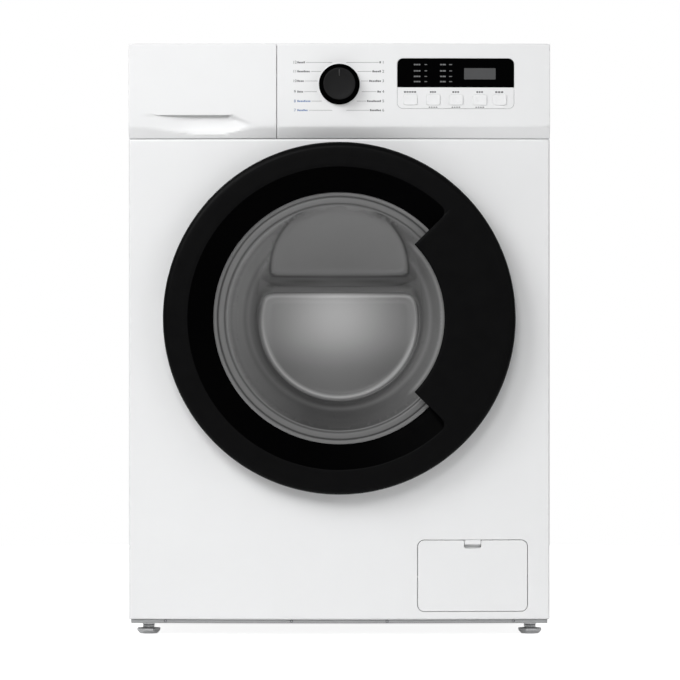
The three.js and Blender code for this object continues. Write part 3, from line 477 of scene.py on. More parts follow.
WHITE = (0.86, 0.865, 0.87)
MATERIALS = {
    "panel_paint": moulded("panel_paint", WHITE, 0.36, grain=420, depth=1.2e-5, mottle=0.008),
    "white_moulding": moulded(
        "white_moulding", (0.88, 0.885, 0.89), 0.34, grain=900, depth=8e-6, mottle=0.006,
    ),
    "white_key": moulded("white_key", (0.89, 0.895, 0.90), 0.30, grain=1400, depth=6e-6, mottle=0.005),
    "ring_black": moulded(
        "ring_black", (0.0026, 0.0026, 0.0028), 0.40, grain=1500, depth=1.0e-5, specular=0.06,
    ),
    "cone_black": moulded(
        "cone_black", (0.0005, 0.0005, 0.0006), 0.45, grain=1500, depth=1.0e-5, specular=0.012,
    ),
    "knob_black": moulded(
        "knob_black", (0.0095, 0.0095, 0.01), 0.45, grain=2200, depth=1.4e-5, specular=0.12,
    ),
    "knob_skirt": moulded(
        "knob_skirt", (0.0008, 0.0008, 0.0009), 0.6, grain=2200, depth=1.0e-5, specular=0.0,
    ),
    "lens_black": moulded(
        "lens_black", (0.0008, 0.0008, 0.0009), 0.10, grain=300, depth=2e-6, spread=0.03, specular=0.02,
    ),
    "window_grey": moulded("window_grey", (0.082, 0.083, 0.085), 0.22, grain=900, depth=4e-6),
    "mark_grey": moulded("mark_grey", (0.17, 0.172, 0.176), 0.5, grain=1200, depth=3e-6),
    "print_dark": ink("print_dark", (0.045, 0.046, 0.050)),
    "print_blue": ink("print_blue", (0.05, 0.11, 0.30)),
    "print_mid": ink("print_mid", (0.10, 0.10, 0.104)),
    "print_pale_blue": ink("print_pale_blue", (0.13, 0.22, 0.44)),
    "print_line": ink("print_line", (0.15, 0.152, 0.155)),
    "print_soft": ink("print_soft", (0.12, 0.122, 0.126)),
    "knob_mark": moulded("knob_mark", (0.035, 0.035, 0.036), 0.5, grain=1500, depth=3e-6),
    "base_edge": moulded("base_edge", (0.34, 0.345, 0.35), 0.5, grain=900, depth=2e-5, mottle=0.02),
    "base_grey": moulded("base_grey", (0.40, 0.405, 0.41), 0.55, grain=900, depth=4e-5, mottle=0.04),
    "frame_grey": moulded("frame_grey", (0.48, 0.485, 0.49), 0.45, grain=1000, depth=2e-5, mottle=0.03),
    "tub_grey": moulded("tub_grey", (0.30, 0.305, 0.31), 0.6, grain=700, depth=6e-5, mottle=0.06),
    "dark_moulding": moulded("dark_moulding", (0.02, 0.02, 0.021), 0.55, grain=900, depth=4e-5),
    "gasket_rubber": moulded(
        "gasket_rubber", (0.17, 0.173, 0.178), 0.62, grain=1300, depth=5e-5, mottle=0.06, specular=0.3,
    ),
    "hose_rubber": moulded("hose_rubber", (0.022, 0.022, 0.023), 0.6, grain=900, depth=5e-5, mottle=0.08),
    "hose_grey": moulded("hose_grey", (0.34, 0.345, 0.35), 0.5, grain=900, depth=3e-5, mottle=0.05),
    "drum_steel": brushed("drum_steel", (0.62, 0.625, 0.63), 0.36, (5, 900, 5), depth=2.5e-6),
    "zinc": brushed("zinc", (0.68, 0.685, 0.69), 0.30, (900, 900, 120), depth=8e-6),
    "screw_steel": brushed("screw_steel", (0.50, 0.505, 0.51), 0.32, (1400, 900, 1400), depth=8e-6),
    "cast_aluminium": cast("cast_aluminium", (0.42, 0.425, 0.43), 0.5, metallic=0.85),
    "concrete": cast("concrete", (0.30, 0.29, 0.275), 0.85, grain=150, depth=4e-4),
    "board_green": moulded("board_green", (0.02, 0.10, 0.05), 0.4, grain=600, depth=3e-5, mottle=0.2),
    "heater_steel": brushed("heater_steel", (0.42, 0.36, 0.31), 0.36, (900, 60, 900)),
    # smoke grey with painted light and shade, read from the mesh's point attribute
    "bowl_glass": smoked_glass("bowl_glass", "smoke_and_painted_light", 0.94),
}
SLOTS = {
    "white_paint": ["panel_paint"],
    "white_plastic": ["white_moulding", "white_key"],
    "black_ring": ["ring_black"],
    "black_knob": ["knob_black", "knob_mark"],
    "display_black": ["lens_black", "window_grey", "mark_grey"],
    "grey_plastic": ["base_edge", "base_grey", "frame_grey", "hose_grey"],
    "dark_plastic": ["dark_moulding"],
    "gasket_rubber": ["gasket_rubber"],
    "hose_rubber": ["hose_rubber"],
    "stainless": ["drum_steel"],
    "zinc": ["zinc", "screw_steel"],
    "glass": ["bowl_glass"],
}
SLOTS["display_black"] += [name for name in MATERIALS if name.startswith("print_")]


# ---------------------------------------------------------------- front panel and filter flap
PANEL_BOTTOM = PANEL_LOW.z / MM
PANEL_TOP = PANEL_HIGH.z / MM
SKIN = 1.2
DISH_FLOOR = 14.0
ROUND = 192  # points round the door and its opening
FLAP_LOW, FLAP_HIGH = node_box("filter_flap")
FLAP_R = 9.0
FLAP_GAP = 0.8
NOTCH_LEFT, NOTCH_RIGHT = 178.0, 202.0  # the finger notch in the flap's upper edge
HOOK_SLOT = (188, 212.5)


def panel_front(x, z):
    """The front panel's face."""
    return bow(x)


def panel_back(x, z):
    """The back of the front panel's sheet."""
    return bow(x) + SKIN


def circle_row(r, lift, surface=panel_front):
    """A ring of points about the door's centre, lift behind the surface."""
    return [(x, surface(x, z) + lift, z) for x, z in circle_loop(0, DOOR_Z, r, ROUND)]


def level(depth):
    """A flat surface at y = depth."""
    return lambda x, z: depth


def ring_rows(profile, count=ROUND):
    """Rings round the door's axis, one for each (radius, y) of the profile."""
    return [[(x, y, z) for x, z in circle_loop(0, DOOR_Z, r, count)] for r, y in profile]


def flap_rectangle(grow=0.0):
    """The flap's outline without its notch, or a larger one round it."""
    x0, x1, z0, z1 = FLAP_LOW[0], FLAP_HIGH[0], FLAP_LOW[2], FLAP_HIGH[2]
    return rounded_loop(x0 - grow, x1 + grow, z0 - grow, z1 + grow, FLAP_R + grow, 6, 12)


def front_panel():
    """Pressed sheet: rounded edges turned back, a flap hole, and the dish that the door sits in."""
    b = Builder()
    outline = rounded_loop(-HALF, HALF, PANEL_BOTTOM, PANEL_TOP, 1.5, 3, 15)
    rim = edge_rows(outline, panel_front, 3.0, 6)
    back_edge = [(x, DISH_FLOOR, z) for x, z in outline]
    inner_edge = [(x, DISH_FLOOR, z) for x, z in inset(outline, SKIN)]
    rim += [back_edge, inner_edge, row(outline, panel_back, SKIN, 3.0), row(outline, panel_back, 4.5)]
    hole = flap_rectangle(FLAP_GAP)
    flap_rim = edge_rows(hole, panel_front, 0.8, 3, hole=True)
    flap_rim += [row(hole, panel_front, 0, 7.0), row(hole, panel_front, -1.0, 7.0)]
    flap_rim += [row(hole, panel_back, -1.0, 0.6), row(hole, panel_back, -1.6)]
    wall = [(231, 0), (229.4, 0), (228.4, 0.2), (227.5, 0.8), (226.8, 1.8), (226.4, 3.2)]
    door_rim = [circle_row(r, lift) for r, lift in wall]
    door_rim += ring_rows([(220.0, 10.6), (219.3, 12.4), (218, 13.6), (216.2, DISH_FLOOR)])
    behind = DISH_FLOOR + SKIN
    back_rim = [circle_row(r, lift, panel_back) for r, lift in ((232, 0), (230, 0.6), (228.4, 2.4))]
    back_rim += ring_rows([(221.6, 11.6), (220.2, 14.4), (217, behind)])
    lip = [(174.5, 14), (172.6, 14.3), (171.2, 15.1), (170.3, 16.4), (170, 18), (170, 25.4), (170.6, 26)]
    lip += [(171.2, 25.4), (171.2, 18.2), (171.8, 16.6), (173, 15.6), (174.5, behind)]
    lip_rows = ring_rows(lip)
    slot = rounded_loop(*HOOK_SLOT, DOOR_Z - 14, DOOR_Z + 14, 2.5, 4, 6)
    slot_rows = [row(slot, level(DISH_FLOOR), -0.6), row(slot, level(DISH_FLOOR + 0.5))]
    slot_rows.append(row(slot, level(behind)))
    skin(b, [rim[0], flap_rim[0], door_rim[0]], panel_front, 13)
    skin(b, [rim[-1], flap_rim[-1], back_rim[0]], panel_back, 24)
    skin(b, [door_rim[-1], lip_rows[0], slot_rows[0]], level(DISH_FLOOR), 12)
    skin(b, [back_rim[-1], lip_rows[-1], slot_rows[-1]], level(behind), 20)
    for rows in (rim, flap_rim, door_rim, back_rim, lip_rows, slot_rows):
        b.loft(rows)
    b.piece("front_skin", "panel_paint", "cabinet", replaces=["front_panel"])


def flap_outline():
    """The flap's outline with the finger notch in its upper edge, anticlockwise."""
    top = FLAP_HIGH[2]
    left, right = NOTCH_LEFT, NOTCH_RIGHT
    notch = [(right + 1.4, top), (right, top - 1.4), (right, 126.5), (right - 2, 124.5)]
    notch += [(left + 2, 124.5), (left, 126.5), (left, top - 1.4), (left - 1.4, top)]
    kept = [p for p in flap_rectangle() if not (p[1] > top - 0.01 and left - 2 < p[0] < right + 2)]
    after = next(i for i, p in enumerate(kept) if p[1] > top - 0.01 and p[0] < left - 2)
    return kept[:after] + notch + kept[after:]


def filter_flap():
    """The small door over the filter, with a catch plate behind its notch and two hinge lugs below."""
    b = Builder()
    outline = flap_outline()
    rows = edge_rows(outline, panel_front, 0.7, 3, support=0.6)
    thick = 2.4
    rows += [row(outline, panel_front, 0, thick), row(outline, panel_front, 1.2, thick)]
    sheet(b, [rows], panel_front, lambda x, z: bow(x) + thick, 12)
    for x in (140, 240):
        b.box(x - 7, x + 7, bow(x) + thick - 0.2, bow(x) + thick + 4.2, FLAP_LOW[2] + 2, FLAP_LOW[2] + 8, 1.2)
    b.piece("flap_cover", "panel_paint", "flap", replaces=["filter_flap"])
    catch = Builder()
    shelf = bow(190)
    profile = [(1.0, 136.4), (1.0, 130.6), (6.6, 126.8), (7.6, 121), (8.8, 121), (8.0, 127.6), (2.4, 131.6)]
    profile.append((2.4, 136.4))
    xs = (NOTCH_LEFT + 0.6, NOTCH_LEFT + 1.4, 190, NOTCH_RIGHT - 1.4, NOTCH_RIGHT - 0.6)
    catch.loft([[(x, shelf + y, z) for y, z in profile] for x in xs], caps=(True, True))
    catch.piece("flap_catch", "panel_paint", "flap", crease=25)


# ---------------------------------------------------------------- base and feet
TRAY_LOW, TRAY_HIGH = node_box("base_tray")
SCREW_X = (-248, -68, 68, 248)
SCREW_Z = 20.9
EDGE_SUNK = 3.4  # how far the base's front edge lies behind the panel's face


def base_strip():
    """The front edge of the base tray, seen under the panel, with the heads of its four screws."""
    b = Builder()
    top, bottom = PANEL_BOTTOM - 0.4, TRAY_LOW[2]
    left, right = TRAY_LOW[0], TRAY_HIGH[0]
    steps = 40
    loops = []
    for i in range(steps + 1):
        x = left + (right - left) * i / steps
        y = bow(x) + EDGE_SUNK
        loops.append([
            (x, y + 1.2, top), (x, y + 0.3, top - 0.5), (x, y, top - 1.4), (x, y, bottom + 1.6),
            (x, y + 0.5, bottom + 0.4), (x, y + 1.8, bottom - 0.1), (x, y + 9, bottom - 0.1), (x, y + 9, top),
        ])
    b.loft(loops, caps=(True, True))
    b.piece("base_front_edge", "base_edge", "cabinet", crease=30)
    for i, x in enumerate(SCREW_X):
        s = Builder()
        y = bow(x) + EDGE_SUNK
        head = [(0, 0.5), (0.9, 0.5), (1.5, -0.1), (2.0, -0.1), (2.2, 0.2), (2.2, 2), (0, 2)]
        s.turn([(r, y + dy) for r, dy in head], 20, x, SCREW_Z)
        s.piece(f"base_screw_{i + 1}", "dark_moulding", "cabinet")


def foot(name):
    """A levelling foot: an eight-sided flange turned up at its edge, a locknut and a threaded stem."""
    cx, cy, _ = node_middle(name)

    def level_row(radius, z, sides=8, turn=0.5, count=48):
        """A row round the stem's axis: a regular polygon with `count` points, or a circle."""
        points = []
        for k in range(count):
            angle = TAU * k / count
            r = radius
            if sides:
                part = (angle + TAU * turn / sides) % (TAU / sides) - math.pi / sides
                r = radius * math.cos(math.pi / sides) / math.cos(part)
            points.append((cx + r * math.cos(angle), cy + r * math.sin(angle), z))
        return points

    plate = Builder()
    rows = [(3, 0.0), (11.5, 0.0), (13.0, 0.5), (16.6, 4.2), (17.0, 5.4), (16.9, 7.4), (16.2, 7.6)]
    rows += [(15.6, 7.0), (13.2, 6.6), (10.5, 6.4), (9.6, 6.8), (9.2, 8.6), (6.0, 9.0)]
    plate.loft([level_row(r * 1.04, z, sides=8) for r, z in rows], caps=(True, True))
    plate.piece(f"{name}_flange", "zinc", name, replaces=[name], crease=24)
    nut = Builder()
    for z0, z1, r in ((9.1, 12.2, 9.4), (12.5, 17.2, 9.9)):
        rows = [(0.8, z0), (0.94, z0 + 0.1), (1, z0 + 0.8), (1, z1 - 0.8), (0.94, z1 - 0.1), (0.8, z1)]
        nut.loft([level_row(r * share, z, sides=6) for share, z in rows], caps=(True, True))
    nut.piece(f"{name}_locknut", "zinc", name, crease=24)
    stem = Builder()
    pitch, turns, per_turn = 1.5, 27, 20
    core = [(4.15, 8.4), (4.15, 51.0), (3.4, 52.0)]
    stem.loft([level_row(r, z, sides=0, count=24) for r, z in core], caps=(True, True))
    thread = []
    for k in range(turns * per_turn + 1):
        angle = TAU * k / per_turn
        z = 8.8 + pitch * k / per_turn
        thread.append([
            (cx + r * math.cos(angle), cy + r * math.sin(angle), z + dz)
            for r, dz in ((3.9, 0.0), (4.9, 0.55), (4.9, 0.75), (3.9, 1.3))
        ])
    stem.loft(thread, caps=(True, True))
    stem.piece(f"{name}_stem", "zinc", name, crease=40)


def feet():
    """All four levelling feet."""
    for end in ("front", "rear"):
        for side in ("left", "right"):
            foot(f"foot_{end}_{side}")


# ---------------------------------------------------------------- control band
FASCIA_LOW, FASCIA_HIGH = node_box("control_fascia")
DRAWER_LOW, DRAWER_HIGH = node_box("drawer_front")
BAND_BOTTOM = FASCIA_LOW[2]
BAND_TOP = FASCIA_HIGH[2]
BAND_PROUD = 10.0
CHAMFER_HEIGHT = 16.7  # of the slope along the band's lower edge
CHAMFER_TOP = BAND_BOTTOM + CHAMFER_HEIGHT
SEAM_X = DRAWER_HIGH[0] + 0.6
WALL = 2.5
LENS_LOW, LENS_HIGH = node_box("display_lens")
PLATE_LOW, PLATE_HIGH = node_box("button_panel")
KNOB_LOW, KNOB_HIGH = node_box("program_knob")
KNOB_Z = (KNOB_LOW[2] + KNOB_HIGH[2]) / 2
INSERT_R = 8.0
KEYS = 5


def soft_corner(value, width):
    """max(value, 0) with its corner rounded over `width` to each side."""
    if value <= -width:
        return 0.0
    if value >= width:
        return value
    return (value + width) ** 2 / (4 * width)


def band_front(x, z):
    """The bowed front of the control band, with the slope along its lower edge."""
    return bow(x) - BAND_PROUD + BAND_PROUD / CHAMFER_HEIGHT * soft_corner(CHAMFER_TOP - z, 1.6)


def band_back(x, z):
    """The back of the band's wall."""
    return band_front(x, z) + WALL


def chamfer_lines(x0, x1):
    """Rows of points along the rounded corner where the slope begins."""
    count = math.ceil((x1 - x0) / 14)
    xs = [x0 + (x1 - x0) * i / count for i in range(count + 1)]
    return [[(x, CHAMFER_TOP + dz) for x in xs] for dz in (-4, -1.6, -0.5, 0.5, 1.6, 4)]


def insert_outline(grow=0.0):
    """The outline of the lens and the key strip together, or a larger one round it."""
    left, right, bottom, top = PLATE_LOW[0], PLATE_HIGH[0], PLATE_LOW[2], LENS_HIGH[2]
    return rounded_loop(left - grow, right + grow, bottom - grow, top + grow, INSERT_R + grow, 8, 10)


def by_angle(points, x, z):
    """The points in anticlockwise order round (x, z)."""
    return sorted(points, key=lambda p: math.atan2(p[1] - z, p[0] - x))


def control_fascia():
    """The white moulding right of the drawer, its top turned back, with a pocket for the insert."""
    b = Builder()
    outline = rounded_loop(SEAM_X, HALF, BAND_BOTTOM, BAND_TOP, 1.0, 3, 12)
    rim = edge_rows(outline, band_front, 1.1, 4, support=0.7)
    back_y = FASCIA_HIGH[1]
    rim += [[(x, back_y, z) for x, z in outline], [(x, back_y, z) for x, z in inset(outline, WALL)]]
    rim += [row(outline, band_back, WALL, 1.0), row(outline, band_back, WALL + 1.0)]
    pocket = insert_outline(0.25)
    pocket_rows = edge_rows(pocket, band_front, 0.35, 3, hole=True, support=0.5)
    pocket_rows += [row(pocket, band_front, 0, 1.7), row(pocket, band_front, 6, 1.7)]
    pocket_rows.append(row(pocket, band_back, 6))
    hole = circle_loop(0, KNOB_Z, 5.0, 32)
    hole_rows = edge_rows(hole, band_front, 0.4, 2, hole=True, support=0.4) + [row(hole, band_back)]
    lines = chamfer_lines(SEAM_X + 3, HALF - 3)
    sheet(b, [rim, pocket_rows, hole_rows], band_front, band_back, 9, lines)
    b.piece("fascia_moulding", "white_moulding", "cabinet", replaces=["control_fascia"])
    behind = Builder()
    low, high = DRAWER_LOW[0] + 0.4, SEAM_X + 0.2
    foot, roof = BAND_BOTTOM + WALL, BAND_TOP - WALL
    for x1, z0, z1 in ((high, roof, BAND_TOP), (high, BAND_BOTTOM, foot), (low + WALL, foot, roof)):
        behind.box(low, x1, 4.2, back_y, z0, z1, 0.5)
    behind.piece("fascia_drawer_frame", "white_moulding", "cabinet")


# ---------------------------------------------------------------- drawer front with its grip
LIP_Z = 741.6
LIP_LEFT, LIP_RIGHT = -258.0, -154.5
GRIP_LEFT, GRIP_RIGHT = -290.0, -105.0
GRIP_LOWEST = 715.3
GRIP_DEPTH = 10.4
SLIT = 1.1  # the height of the dark slit under the lip


def ease(t):
    """A smooth step from 0 at t = 0 to 1 at t = 1."""
    t = min(1.0, max(0.0, t))
    return t * t * (3 - 2 * t)


def grip_low(x):
    """The grip's lower edge: a shallow arc along the slope, rising to its two ends."""
    if x < -200:
        return GRIP_LOWEST + 8.4 * ease((-200 - x) / 84) ** 0.9
    return GRIP_LOWEST + 9.6 * ease((x + 172) / 55) ** 1.2 if x > -172 else GRIP_LOWEST


def grip_high(x):
    """The grip's upper edge: the straight lip, then a slant down to the slope."""
    if x <= LIP_RIGHT:
        return LIP_Z
    t = (x - LIP_RIGHT) / (GRIP_RIGHT - LIP_RIGHT)
    return LIP_Z - (LIP_Z - CHAMFER_TOP) * (0.55 * t + 0.45 * ease(t))


def grip_depth(x):
    """How far behind the front the grip lies just under its lip."""
    left = GRIP_DEPTH * ease((x - GRIP_LEFT) / 90)
    return left * (1 - 0.9 * ease((x - LIP_RIGHT + 14) / 50))


def drawer_surface(x, z):
    """The drawer's face: the band's face with the grip scooped out of it."""
    front = band_front(x, z)
    if not GRIP_LEFT < x < GRIP_RIGHT:
        return front
    low, high = grip_low(x), grip_high(x)
    if z <= low - 3 or z >= high + 0.05:
        return front
    start = band_front(x, low)
    share = max(0.0, (z - low) / (high - low)) ** 0.32
    scoop = start + (band_front(x, CHAMFER_TOP + 5) + grip_depth(x) - start) * share
    cut = front + soft_corner(scoop - front, 0.5)
    if x > LIP_RIGHT - 6:
        ramp = ease((high - z) / 5.5)
        hard = ease((LIP_RIGHT + 8 - x) / 14)
        cut = front + (cut - front) * max(ramp, hard if z < LIP_Z - 0.05 else 0)
    return cut


def drawer_back(x, z):
    """The back of the drawer's moulding."""
    return bow(x) - BAND_PROUD + 12.8


def lip_slit():
    """The slit under the lip: its lower side lies on the grip and its upper side on the front."""
    count = 40
    xs = [LIP_LEFT + (LIP_RIGHT - LIP_LEFT) * i / count for i in range(count + 1)]
    heights = [SLIT * min(1, 3 * i / count, 5 * (count - i) / count + 0.3) for i in range(count + 1)]
    lower = [(x, LIP_Z - height) for x, height in zip(xs, heights)]
    upper = [(x, LIP_Z + 0.05) for x in reversed(xs)]
    return lower[1:-1], upper


def drawer_front():
    """The drawer's handle front: a rounded moulding with a finger grip cut into its lower edge."""
    b = Builder()
    outline = rounded_loop(DRAWER_LOW[0], DRAWER_HIGH[0] - 0.3, BAND_BOTTOM, BAND_TOP, 1.0, 3, 8)
    rim = edge_rows(outline, band_front, 1.1, 4, support=0.7)
    rim += [row(outline, band_back, 0, 0.5), row(outline, drawer_back, 0, -0.6)]
    rim.append(row(outline, drawer_back, 0.6))
    lower, upper = lip_slit()
    mouth = [(x, drawer_surface(x, z), z) for x, z in lower] + [(x, band_front(x, z), z) for x, z in upper]
    rolled, throat, roof = [], [], []
    for i, (x, _, _) in enumerate(mouth):
        front = band_front(x, LIP_Z)
        deep = drawer_surface(x, LIP_Z - 0.3) + 0.2
        near_end = min(1.0, (x - LIP_LEFT) / 6 + 0.25, (LIP_RIGHT - x) / 6 + 0.25)
        if i < len(lower):
            rolled.append((x, deep, LIP_Z + 0.2))
            throat.append((x, deep + 0.5, LIP_Z + 5))
            roof.append((x, deep + 0.5, LIP_Z + 5 + 6 * near_end))
        else:
            under = min(front + 2.4, deep - 0.3)
            rolled.append((x, min(front + 0.9, deep - 0.5), LIP_Z - 0.35))
            throat.append((x, under, LIP_Z + 0.8))
            roof.append((x, under, LIP_Z + 4 + 6 * near_end))
    skin(b, [rim[0], mouth], drawer_surface, 2.6)
    b.loft([mouth, rolled, throat, roof], caps=(False, True))
    skin(b, [rim[-1]], drawer_back, 16)
    b.loft(rim)
    b.piece("drawer_handle_front", "white_moulding", "drawer", replaces=["drawer_front"], crease=40)
    peg = Builder()
    y0 = drawer_back(-190, 0) - 6
    peg.box(-268, -112, y0 + 4, DRAWER_HIGH[1], 748, 812, 2)
    peg.piece("drawer_front_carrier", "white_moulding", "drawer")


# ---------------------------------------------------------------- display, keys and print
def plate_piece(name, outline, front, thickness, material, body, radius=0.3, spacing=6, **settings):
    """A thin plate that follows the band, its front edge rounded."""
    b = Builder()
    rows = edge_rows(outline, front, radius, 3, support=radius)
    rows.append(row(outline, front, 0, thickness))
    sheet(b, [rows], front, lambda x, z: front(x, z) + thickness, spacing)
    return b.piece(name, material, body, **settings)


def insert_level(lift):
    """A surface `lift` in front of the band's face, without its slope."""
    return lambda x, z: bow(x) - BAND_PROUD - lift


MARK_COLUMNS = (  # (left, right, half the height) of the blocks in each row: values, and a lamp after them
    (106.0, 108.6, 0.95), (109.2, 112.0, 0.95), (112.6, 115.2, 0.95), (121.2, 124.8, 0.55),
    (143.2, 146.2, 0.95), (146.8, 151.4, 0.95), (156.2, 160.4, 0.55),
)


def display():
    """The gloss black half of the insert, its grey window and the lamps beside their value marks."""
    left, right, foot, top = LENS_LOW[0], LENS_HIGH[0], LENS_LOW[2], LENS_HIGH[2]
    outline = [(x, max(z, foot)) for x, z in insert_outline() if z > foot + 2]
    outline += [(left, foot + 0.01), (right, foot + 0.01)]
    outline += [(left + (right - left) * i / 16, foot) for i in range(1, 16)]
    outline = by_angle(outline, (left + right) / 2, (foot + top) / 2)
    glass = insert_level(0.6)
    plate_piece("display_glass", outline, glass, 1.6, "lens_black", "cabinet", replaces=["display_lens"])
    window = rounded_loop(177.5, 222.3, 792, 808, 0.8, 3, 6)
    plate_piece("display_window", window, insert_level(0.68), 0.5, "window_grey", "cabinet", 0.03)
    marks = Builder()
    for z in (813, 804, 796.2, 788.8):
        for x0, x1, half in MARK_COLUMNS:
            y = bow(x0) - BAND_PROUD
            marks.box(x0, x1, y - 0.67, y - 0.4, z - half, z + half, 0.1)
    marks.piece("display_marks", "mark_grey", "cabinet")


def key_positions():
    """For each key the x and z of its middle, its width and height, and the y of its face."""
    keys = []
    for i in range(KEYS):
        low, high = node_box(f"button_{i + 1}")
        x, _, z = node_middle(f"button_{i + 1}")
        keys.append((x, z, high[0] - low[0], high[2] - low[2], low[1]))
    return keys


def key_cap(number, x, z, width, height, top):
    """One key: a rounded cap, slightly dished where the finger presses."""
    outline = rounded_loop(x - width / 2, x + width / 2, z - height / 2, z + height / 2, 3, 6, 2)

    def dished(px, pz):
        return top + 0.35 * math.exp(-(((px - x) / 6) ** 2 + ((pz - z) / 4.5) ** 2))

    def back(px, pz):
        return bow(px) - 1.2

    key = Builder()
    rows = edge_rows(outline, dished, 0.55, 4, support=0.8) + [row(outline, back)]
    sheet(key, [rows], dished, back, 1.6)
    key.piece(f"key_{number}_cap", "white_key", f"key_{number}", replaces=[f"button_{number}"])


def button_strip():
    """The white half of the insert, with a hole for each key, and the keys in them."""
    left, right, foot, top = PLATE_LOW[0], PLATE_HIGH[0], PLATE_LOW[2], PLATE_HIGH[2]
    outline = [(x, min(z, top)) for x, z in insert_outline() if z < top - 2]
    outline += [(left, top - 0.01), (right, top - 0.01)]
    outline += [(right + (left - right) * i / 16, top) for i in range(1, 16)]
    outline = by_angle(outline, (left + right) / 2, (foot + top) / 2)
    front = insert_level(0.4)
    b = Builder()
    rows = edge_rows(outline, front, 0.3, 3, support=0.3) + [row(outline, front, 0, 1.5)]
    chains = [rows]
    for x, z, width, height, _ in key_positions():
        w, h = width / 2 + 0.12, height / 2 + 0.12
        hole = rounded_loop(x - w, x + w, z - h, z + h, 3.1, 5, 5)
        chains.append(edge_rows(hole, front, 0.12, 2, hole=True, support=0.2) + [row(hole, front, 0, 1.5)])
    sheet(b, chains, front, lambda x, z: front(x, z) + 1.5, 6)
    b.piece("button_plate", "white_moulding", "cabinet", replaces=["button_panel"])
    for i, key in enumerate(key_positions()):
        key_cap(i + 1, *key)


def printed(name, boxes, material, lift=0.03):
    """Flat print laid on the band or the insert: boxes of (x0, x1, z0, z1, surface)."""
    b = Builder()
    for x0, x1, z0, z1, surface in boxes:
        steps = max(1, math.ceil((x1 - x0) / 12))
        loops = []
        for i in range(steps + 1):
            x = x0 + (x1 - x0) * i / steps
            y = surface(x, (z0 + z1) / 2)
            loops.append([(x, y - lift, z0), (x, y - lift, z1), (x, y + 0.1, z1), (x, y + 0.1, z0)])
        b.loft(loops, caps=(True, True))
    return b.piece(name, material, "cabinet", crease=20)


PROGRAM_ROWS = (816.0, 803.2, 789.6, 774.4, 761.0, 748.0)
LABEL_LEFT, LABEL_RIGHT = -66.0, 64.0
LEADER_ENDS = (-10, -26, -31, -32, -25, -10)  # x where the left leaders stop short of the knob
BAR_LENGTHS_LEFT = (11.0, 18.0, 9.5, 8.5, 19.0, 15.0)
BAR_LENGTHS_RIGHT = (2.5, 12.5, 17.0, 5.5, 20.0, 16.0)


def numeral(text, x, z, size):
    """A generic number as a thin raised print, centred at (x, z) on the band."""
    curve = bpy.data.curves.new(f"numeral_{text}", "FONT")
    curve.body = text
    curve.size = size * MM
    curve.extrude = 0.05 * MM
    curve.align_x = "CENTER"
    curve.align_y = "CENTER"
    shape = bpy.data.objects.new(f"numeral_{text}", curve)
    shape.location = place(x, band_front(x, z) - 0.02, z)
    shape.rotation_euler = (math.pi / 2, 0, 0)
    bpy.context.scene.collection.objects.link(shape)
    bpy.context.view_layer.update()
    evaluated = shape.evaluated_get(bpy.context.evaluated_depsgraph_get())
    mesh = bpy.data.meshes.new_from_object(evaluated)
    mesh.transform(shape.matrix_world)
    bpy.data.objects.remove(shape)
    bpy.data.curves.remove(curve)
    return mesh


def join_prints(name, meshes, material):
    """One piece of print from several meshes."""
    work = bmesh.new()
    for mesh in meshes:
        work.from_mesh(mesh)
        bpy.data.meshes.remove(mesh)
    bmesh.ops.remove_doubles(work, verts=work.verts, dist=1e-7)
    joined = bpy.data.meshes.new(name)
    work.to_mesh(joined)
    work.free()
    joined.materials.clear()
    joined.materials.append(MATERIALS[material])
    piece = bpy.data.objects.new(name, joined)
    bpy.context.scene.collection.objects.link(piece)
    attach(piece, "cabinet")


def dashes(start, end, z, pitch=2.3, height=2.0):
    """A row of short plain blocks from start to end, in place of a programme's name."""
    blocks = []
    count = max(1, round((end - start) / pitch))
    step = (end - start) / count
    for k in range(count):
        tall = height * (1.35 if k % 4 == 0 else 1.0)
        foot = z - height / 2
        blocks.append((start + step * k, start + step * (k + 0.78), foot, foot + tall, band_front))
    return blocks


def program_print():
    """Numbers 1 to 12 in two columns beside the knob, each with a plain bar and a thin line to the knob."""
    dark, cool, bars, cool_bars, leaders = [], [], [], [], []
    lengths = zip(PROGRAM_ROWS, LEADER_ENDS, BAR_LENGTHS_LEFT, BAR_LENGTHS_RIGHT)
    for i, (z, near, left, right) in enumerate(lengths):
        (dark if i < 4 else cool).append(numeral(str(12 - i), LABEL_LEFT + 2.8, z, 5.6))
        dark.append(numeral(str(i + 1), LABEL_RIGHT - 1.6, z, 5.6))
        (bars if i < 4 else cool_bars).extend(dashes(LABEL_LEFT + 6.4, LABEL_LEFT + 6.4 + left, z - 0.2))
        bars.extend(dashes(LABEL_RIGHT - 4.4 - right, LABEL_RIGHT - 4.4, z - 0.2))
        leaders.append((LABEL_LEFT + 7.6 + left, near, z - 0.24, z + 0.24, band_front))
        leaders.append((-near, LABEL_RIGHT - 5.6 - right, z - 0.24, z + 0.24, band_front))
    join_prints("program_numbers", dark, "print_dark")
    join_prints("program_numbers_cool", cool, "print_blue")
    printed("program_bars", bars, "print_mid")
    printed("program_bars_cool", cool_bars, "print_pale_blue")
    printed("program_leaders", leaders, "print_line")


